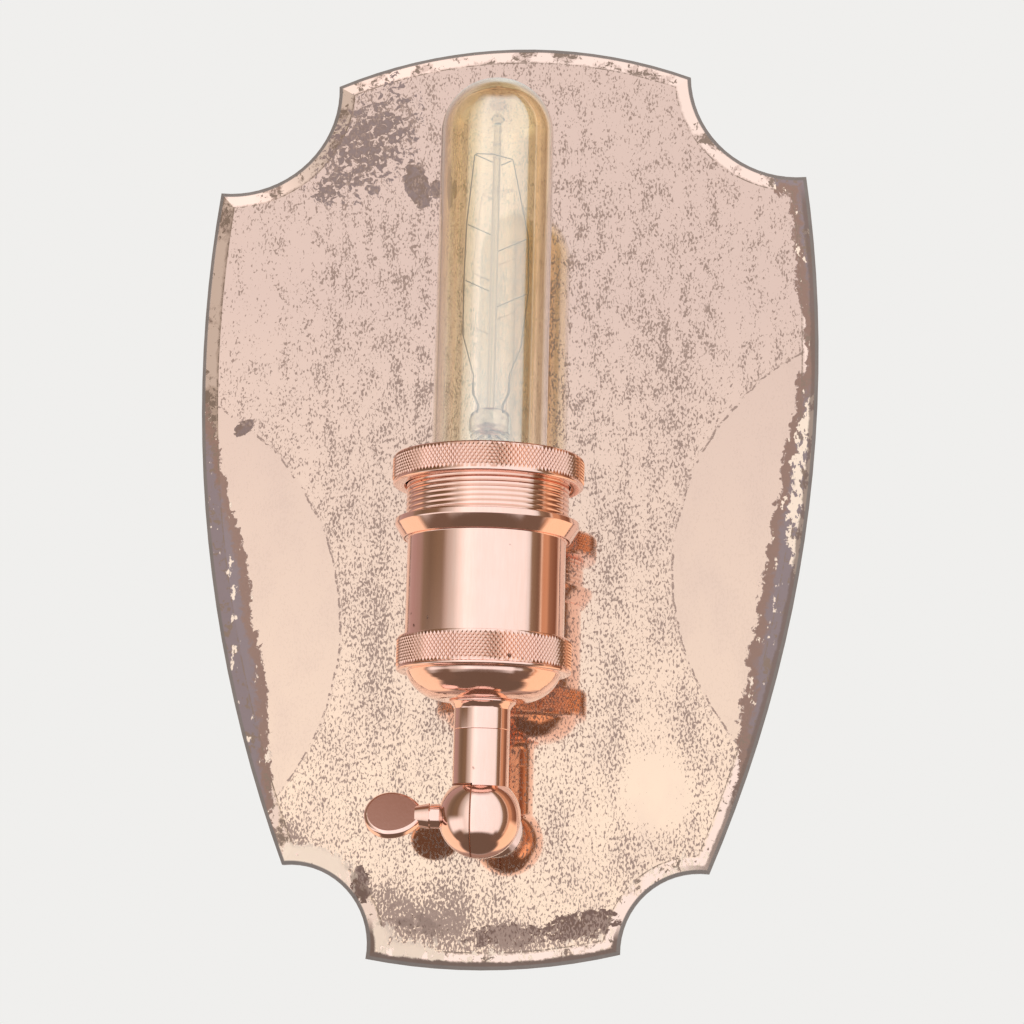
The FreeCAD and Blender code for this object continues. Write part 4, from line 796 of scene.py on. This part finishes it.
cap_ring = cap_high.x
cap_foot, cap_top = cap_low.z, cap_high.z
rim_foot, seat = cap_foot + 7, cap_foot + 9
cap_outline = [
    (cap_ring - 0.5, cap_top), (BORE, cap_top), (BORE, seat), (CAP_INSIDE, seat),
    (CAP_INSIDE, seat - CAP_WALL),
    *bowed((CAP_INSIDE, seat - CAP_WALL), (DOME_FOOT + 0.4, cap_foot + CAP_WALL), -11, 10),
    (NIPPLE_HOLE, cap_foot + CAP_WALL), (NIPPLE_HOLE, cap_foot), (DOME_FOOT, cap_foot),
    *bowed((DOME_FOOT, cap_foot), (20, rim_foot), 10.5),
    (cap_ring - 0.7, rim_foot), (cap_ring - 0.1, rim_foot + 0.4), (cap_ring - 0.1, rim_foot + 0.9),
]
cap_work = knurled(eased(cap_outline), cap_ring, rim_foot + 1.1, cap_top - 0.35)
finish_piece("knurled_cap", cap_work, UPRIGHT, copper, "lamp_head", "copper_plate", "lampholder_cap")

# Porcelain core, shell and contacts: a glazed body holds the pressed brass screw shell and the
# sprung centre contact, with two brass screws underneath for the wires.
# Glazed porcelain: warm white with a clear, slightly wavy glaze
porcelain = mottled("glazed_porcelain", 4, 4, ("#F6F2EA", "#E6DFD2"), {
    "Roughness": 0.25, "Coat Weight": 0.8, "Coat Roughness": 0.06,
}, dents=(0.1, 0.15))
dress(porcelain, "porcelain_core")

# Lampholder barrel: copper-plated tube that screws into the cap and keeps the porcelain in place.
# Its upper half carries a fine rolled thread, 1.3 mm from crest to crest, for the shade rings.
body_low, body_high = ((corner - pivot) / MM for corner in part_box("lampholder_body"))
SHADE_PITCH, SHADE_CUT = 1.3, 0.17
MOUTH, MOUTH_DEPTH, BARREL_INSIDE, BARREL_OUTSIDE = 17.6, 13, 18.7, 20.55
thread_top, thread_foot, crest = body_high.z, body_low.z + 32.6, body_high.x
barrel_outline = [
    (crest - 0.5, thread_top), (MOUTH, thread_top), (MOUTH, thread_top - MOUTH_DEPTH),
    (BARREL_INSIDE, thread_top - MOUTH_DEPTH), (BARREL_INSIDE, body_low.z), (BARREL_OUTSIDE, body_low.z),
    (BARREL_OUTSIDE, thread_foot), (crest, thread_foot),
]
barrel_work = threaded(
    eased(barrel_outline), crest, thread_foot + 0.3, thread_top - 0.5, SHADE_PITCH, SHADE_CUT, 144, 8, True,
)
finish_piece("threaded_barrel", barrel_work, UPRIGHT, copper, "lamp_head", "copper_plate", "lampholder_body")

# Shade seat ring: a turned copper-plated collar low on the thread, coned underneath, with a thin
# upright rim that a shade rests on.
low_ring, high_ring = ((corner - pivot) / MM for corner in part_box("shade_seat_ring"))
RING_BORE = 21.35
seat_outline = [
    (RING_BORE, low_ring.z + 1), (RING_BORE, low_ring.z), (RING_BORE + 0.4, low_ring.z),
    (high_ring.x, high_ring.z - 1.4), (high_ring.x, high_ring.z), (RING_BORE, high_ring.z),
    (RING_BORE, low_ring.z + 1),
]
seat_work = turned(eased(seat_outline), 144)
finish_piece("coned_seat_ring", seat_work, UPRIGHT, copper, "shade_seat", "copper_plate", "shade_seat_ring")

# Shade clamp ring: a turned copper-plated ring on the barrel's thread, knurled outside with a
# smooth lip at its foot. It screws down on a shade that sits on the conical ring below.
ring_low, ring_high = ((corner - pivot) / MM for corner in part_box("shade_clamp_ring"))
clamp_radius, clamp_foot, clamp_top = ring_high.x, ring_low.z, ring_high.z
clamp_outline = [
    (clamp_radius - 0.5, clamp_top), (RING_BORE + 0.5, clamp_top), (RING_BORE, clamp_top - 0.5),
    (RING_BORE, clamp_foot + 0.5), (RING_BORE + 0.5, clamp_foot), (clamp_radius - 0.7, clamp_foot),
    (clamp_radius - 0.2, clamp_foot + 0.35), (clamp_radius - 0.2, clamp_foot + 0.75),
]
clamp_work = knurled(eased(clamp_outline), clamp_radius, clamp_foot + 0.95, clamp_top - 0.3)
finish_piece(
    "knurled_clamp_ring", clamp_work, UPRIGHT, copper, "shade_clamp", "copper_plate", "shade_clamp_ring",
)

# Lamp base: a nickelled brass screw cap with a rolled thread, a black glass insulator at its foot
# and a bead of solder as the centre contact.
# Nickelled brass: warm silver, a little hazy
nickel = mottled(
    "nickelled_brass", 4, 4, ("#E4DED2", "#C9C0AE"), {"Metallic": 1}, dents=(0.1, 0.1), gloss=(0.14, 0.34),
)
base_low, base_high = ((corner - pivot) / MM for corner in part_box("bulb_screw_cap"))
base_radius, base_foot, base_top = base_high.x, base_low.z, base_high.z
LAMP_PITCH, LAMP_CUT, BASE_WALL, BASE_INSIDE = 3.63, 1.0, 0.4, base_radius - 1.6
FOOT_RADIUS = 10.8
base_outline = [
    (base_radius, base_top), (base_radius - BASE_WALL, base_top), (base_radius - BASE_WALL, base_top - 1),
    (BASE_INSIDE, base_top - 2), (BASE_INSIDE, base_foot + 2), (FOOT_RADIUS - BASE_WALL, base_foot),
    (FOOT_RADIUS, base_foot),
]
base_work = threaded(
    base_outline, base_radius, base_foot + 2, base_top - 2.5, LAMP_PITCH, LAMP_CUT, 96, 12, True,
)
finish_piece("rolled_screw_cap", base_work, UPRIGHT, nickel, "lamp", "nickelled_brass", "bulb_screw_cap")

# Black vitrite: a glossy black slag glass with faint swirls
vitrite, add, place = new_material("black_vitrite")
swirl = add("TexNoise", {"Vector": place, "Scale": 1 / (2.5 * MM), "Detail": 3, "Distortion": 1})
colour = add("Mix RGBA", (swirl, "#0E0D10", "#2A2730"))
slag = add("BsdfPrincipled", {"Base Color": colour, "Roughness": 0.12})
add("OutputMaterial", {"Surface": slag})
dress(vitrite, "bulb_insulator")

# Tin solder: a soft grey, lumpy bead
solder = mottled(
    "tin_solder", 1.5, 3, ("#CFCFCB", "#A3A39F"), {"Metallic": 1, "Roughness": 0.3}, dents=(0.5, 0.3),
)
dress(solder, "bulb_base_contact")

# Lamp glass: a drawn tube of amber-tinted glass closed to a dome, with a clear stem inside that is
# pressed flat on the lead wires and drawn out into a rod for the filament's supports.
# Amber tinted glass: clear, faintly yellow and streaked, under a lustre that mirrors the window.
# The lustre is only on the outside, found by its distance from the tube's axis and dome's centre.
amber_glass, add, place = new_material("amber_tinted_glass")
draw = add("Mapping", {"Vector": place, "Scale": (1, 1, 0.15)})
draw = add("TexNoise", (draw, 1 / (8 * MM), 2))
fume = add("SeparateXYZ", (place,)).outputs["Z"]
fume = add("MapRange", (fume, lamp_low.z, lamp_high.z, -0.5, 0.5))
fume = add("Math ADD", (draw, fume))
colour = add("Mix RGBA", (fume, "#FFFEF8", "#FFF6DA"))
streaks = add("Bump", {"Height": draw, "Strength": 0.06, "Distance": 0.3 * MM})
lamp_radius = lamp_high.x
dome = Vector((pivot.x, pivot.y, lamp_high.z - lamp_radius))
arm = add("VectorMath SUBTRACT", (place, dome))
arm = add("VectorMath MAXIMUM", (arm, (-1, -1, 0)))
arm = add("VectorMath LENGTH", (arm,))
outside = add("Math GREATER_THAN", (arm, lamp_radius - 0.4 * MM))
glass = add("BsdfPrincipled", {
    "Base Color": colour, "Roughness": 0.0, "IOR": 1.5, "Transmission Weight": 1, "Normal": streaks,
    "Coat Weight": outside, "Coat IOR": 3.0, "Coat Roughness": 0.03,
})
add("OutputMaterial", {"Surface": glass})
dress(amber_glass, "bulb_glass")

# Stem glass: clear with a grey-green cast and small lumps, so that its edges show as fine lines
clear_glass = mottled("clear_stem_glass", 2, 2, ("#F4F2E8", "#E6E2D4"), {
    "Roughness": 0.0, "IOR": 1.5, "Transmission Weight": 1,
}, dents=(0.15, 0.4))
dress(clear_glass, "bulb_support_rod")

# The stem flares at its foot, runs up as a tube and is pinched flat on the leads, with a ring of
# small bubbles where the pinch begins: height above the knuckle, half width and half depth in mm
STEM_INSIDE = (
    (98.5, 2.4, 2), (97.6, 3.4, 3.2), (96, 3.7, 3.7), (88, 4, 4), (84, 6, 6), (81, 8.6, 8.6),
    (79, 10.5, 10.5),
)
STEM_OUTSIDE = (
    (79, 11.5, 11.5), (80, 11.3, 11.3), (82, 8.8, 8.8), (85, 6.4, 6.4), (88, 5.2, 5.2), (91, 4.8, 4.8),
    (96, 4.8, 4.8), (98, 4.9, 4.5), (99.5, 5.3, 3.5), (101, 5.6, 2.5), (103.5, 5.5, 2.2), (105, 4.9, 2.1),
    (106, 3.7, 1.9), (106.4, 2.2, 1.5), (106.5, 1.05, 1.05),
)
STEM_STEPS, BUBBLES = 64, 11
stem_work = bmesh.new()
rings = []
for height, wide, deep in STEM_INSIDE + STEM_OUTSIDE:
    angles = [2 * math.pi * i / STEM_STEPS for i in range(STEM_STEPS)]
    spots = [Vector((wide * math.cos(a), deep * math.sin(a), height)) * MM for a in angles]
    rings.append([stem_work.verts.new(spot) for spot in spots])
for below, above in zip(rings, rings[1:]):
    for i in range(STEM_STEPS):
        stem_work.faces.new((below[i - 1], below[i], above[i], above[i - 1]))
stem_work.faces.new(rings[0])
stem_work.faces.new(rings[-1])
for i in range(BUBBLES):
    angle, size = 2 * math.pi * i / BUBBLES, 0.3 + 0.09 * (i * 5 % 4)
    spot = Vector((4.1 * math.cos(angle), 2.9 * math.sin(angle), 98.7 + 0.35 * (i * 3 % 5))) * MM
    bmesh.ops.create_icosphere(
        stem_work, subdivisions=2, radius=size * MM, matrix=Matrix.Translation(spot),
    )
finish_piece("pinched_stem", stem_work, UPRIGHT, clear_glass, "lamp", "clear_glass", "bulb_stem")

# Leads, supports and filament: drawn tungsten and nickel-iron wire, hooked on the rod's beads and
# welded to the leads in the pinch.
# Drawn tungsten: dull grey wire with a brownish oxide
tungsten = mottled("drawn_tungsten", 2, 3, ("#A8A095", "#857D73"), {"Metallic": 1, "Roughness": 0.35})
dress(tungsten, "lead_wires", "filament", "filament_supports")

# Floor: a pale disc, low enough that the lamp clears it when it is tilted down and half unscrewed.
# It fades out so that it meets the background unseen.
# Pale paper: matt off-white with a fine tooth
FLOOR_DROP = 0.21
FLOOR_RADIUS = 1.6
paper, add, place = new_material("pale_paper_floor")
reach = add("VectorMath LENGTH", (place,))
fade = add("MapRange SMOOTHSTEP", (reach, 0.45 * FLOOR_RADIUS, FLOOR_RADIUS))
tooth = add("TexNoise", (place, 1 / (3 * MM), 3))
colour = add("Mix RGBA", (tooth, "#EDEBE8", "#E9E7E4"))
sheet = add("BsdfDiffuse", {"Color": colour})
clear = add("BsdfTransparent")
blend = add("MixShader", (fade, sheet, clear))
add("OutputMaterial", {"Surface": blend})
floor_work = bmesh.new()
bmesh.ops.create_circle(floor_work, cap_ends=True, segments=96, radius=FLOOR_RADIUS)
floor_mesh = bpy.data.meshes.new("floor")
floor_work.to_mesh(floor_mesh)
floor_work.free()
floor_mesh.materials.append(paper)
floor = bpy.data.objects.new("floor", floor_mesh)
floor.location = (0, 0, cad_low.z - FLOOR_DROP)
floor.visible_glossy = False
bpy.context.collection.objects.link(floor)
floor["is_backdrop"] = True

# Studio: an even pale room. Camera rays see its plain colour; gloss and glass also see its walls,
# as colours by azimuth from the front, positive to the right, with a window wall in the middle.
WALLS = (
    (-180, "#CBCAC8"), (-150, "#B5A39B"), (-126, "#A28A86"), (-104, "#95827A"), (-97, "#7D6F5F"),
    (-84, "#6C5D4C"), (-70, "#75644F"), (-61, "#776653"), (-54, "#A69C92"), (-42, "#C6C6C0"),
    (-34, "#E9E8E4"), (-24, "#FFFFFF"), (-5, "#F2F5F7"), (20, "#F2F4F6"), (62, "#EBEEEE"),
    (69, "#D6DCDC"), (73, "#84735E"), (85, "#6E5847"), (88, "#7A6250"), (91, "#DCC4AD"),
    (94, "#B98C6C"), (104, "#BC9070"), (109, "#8E6A53"), (127, "#704C39"), (134, "#D6BCA8"),
    (150, "#B5A39B"), (180, "#CBCAC8"),
)
room = bpy.data.worlds.new("studio")
bpy.context.scene.world = room
room.use_nodes = True
room.node_tree.nodes.clear()
add = functools.partial(add_node, room.node_tree)
way = add("SeparateXYZ", (add("TexCoord").outputs["Generated"],))
front = add("Math MULTIPLY", (way.outputs["Y"], -1))
azimuth = add("Math ARCTAN2", (way.outputs["X"], front))
height = add("Math ARCSINE", (way.outputs["Z"],))
round_room = add("MapRange", (azimuth, -math.pi, math.pi))
walls = add("ValToRGB", {"Fac": round_room})
stops = walls.color_ramp.elements
for degrees, shade in WALLS[1:-1]:
    stops.new((degrees + 180) / 360).color = linear(shade)
stops[0].color, stops[-1].color = linear(WALLS[0][1]), linear(WALLS[-1][1])

# Ceiling, ground and low cards: left, right, low and high limits in degrees, colour and softness
for left, right, low, high, shade, softness in (
    (-200, 200, 64, 95, "#77523D", 8), (97, 155, -52, -6, "#F5D2B0", 5),
    (-155, -100, -52, -6, "#F0D2B6", 5), (155, 200, -52, -10, "#937A6D", 8),
    (-200, -155, -52, -10, "#937A6D", 8), (-92, -40, -34, -4, "#F0F0EE", 8),
    (-200, 200, -95, -52, "#64564B", 5), (-97, 97, -95, -44, "#64564B", 5),
    (58, 97, -60, -35, "#6A5A4E", 6), (-100, -58, -60, -34, "#6A5A4E", 6),
):
    inside = 1.0
    for angle, limits in ((azimuth, (left, right)), (height, (low, high))):
        for limit, sign in zip(limits, (1, -1)):
            middle, soft = math.radians(limit), math.radians(softness * sign)
            step = add("MapRange SMOOTHSTEP", (angle, middle - soft, middle + soft))
            inside = add("Math MULTIPLY", (inside, step))
    walls = add("Mix RGBA", (inside, walls, shade))
path = add("LightPath")
shiny = add("Math MAXIMUM", (path.outputs["Is Glossy Ray"], path.outputs["Is Transmission Ray"]))
shade = add("Mix RGBA", (shiny, "#FFFEFC", walls))
strength = add("Mix", (shiny, 0.62, 1.35))
strength = add("Mix", (path.outputs["Is Camera Ray"], strength, 0.87))
sky = add("Background", {"Color": shade, "Strength": strength})
add("OutputWorld", {"Surface": sky})

# Softboxes that give the soft shadows: place and power. Gloss and glass don't see them.
SOFTBOX_WIDTH = 0.9
for label, spot, watts in (
    ("key_softbox", (0.45, -1.1, 0.75), 9), ("fill_softbox", (-0.9, -0.9, 0.3), 4),
    ("back_softbox", (-0.4, 1.1, 0.7), 7),
):
    lamp = bpy.data.lights.new(label, "AREA")
    lamp.size = SOFTBOX_WIDTH
    lamp.energy = watts
    softbox = bpy.data.objects.new(label, lamp)
    softbox.location = spot
    aim = (cad_low + cad_high) / 2 - Vector(spot)
    softbox.rotation_euler = aim.to_track_quat("-Z", "Y").to_euler()
    softbox.visible_glossy = False
    softbox.visible_transmission = False
    bpy.context.collection.objects.link(softbox)

# Camera: below the middle of the mirror and a little to the right, looking up, as the photo was taken.
CAMERA_SPOT = (0.04753, -0.72466, -0.19867)
SENSOR_WIDTH, FOCAL_LENGTH = 36, 88.15
lens = bpy.data.cameras.new("camera")
lens.sensor_width = SENSOR_WIDTH
lens.lens = FOCAL_LENGTH
camera = bpy.data.objects.new("camera", lens)
turn, lift, roll = (math.radians(angle) for angle in (3.683, 10.255, -1.422))
camera.matrix_world = (
    Matrix.Translation(CAMERA_SPOT) @ Matrix.Rotation(turn, 4, "Z")
    @ Matrix.Rotation(lift, 4, "X") @ Matrix.Rotation(roll, 4, "Y") @ Matrix.Rotation(math.pi / 2, 4, "X")
)
bpy.context.collection.objects.link(camera)
bpy.context.scene.camera = camera
bpy.context.scene.view_settings.view_transform = "Standard"

low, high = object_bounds()
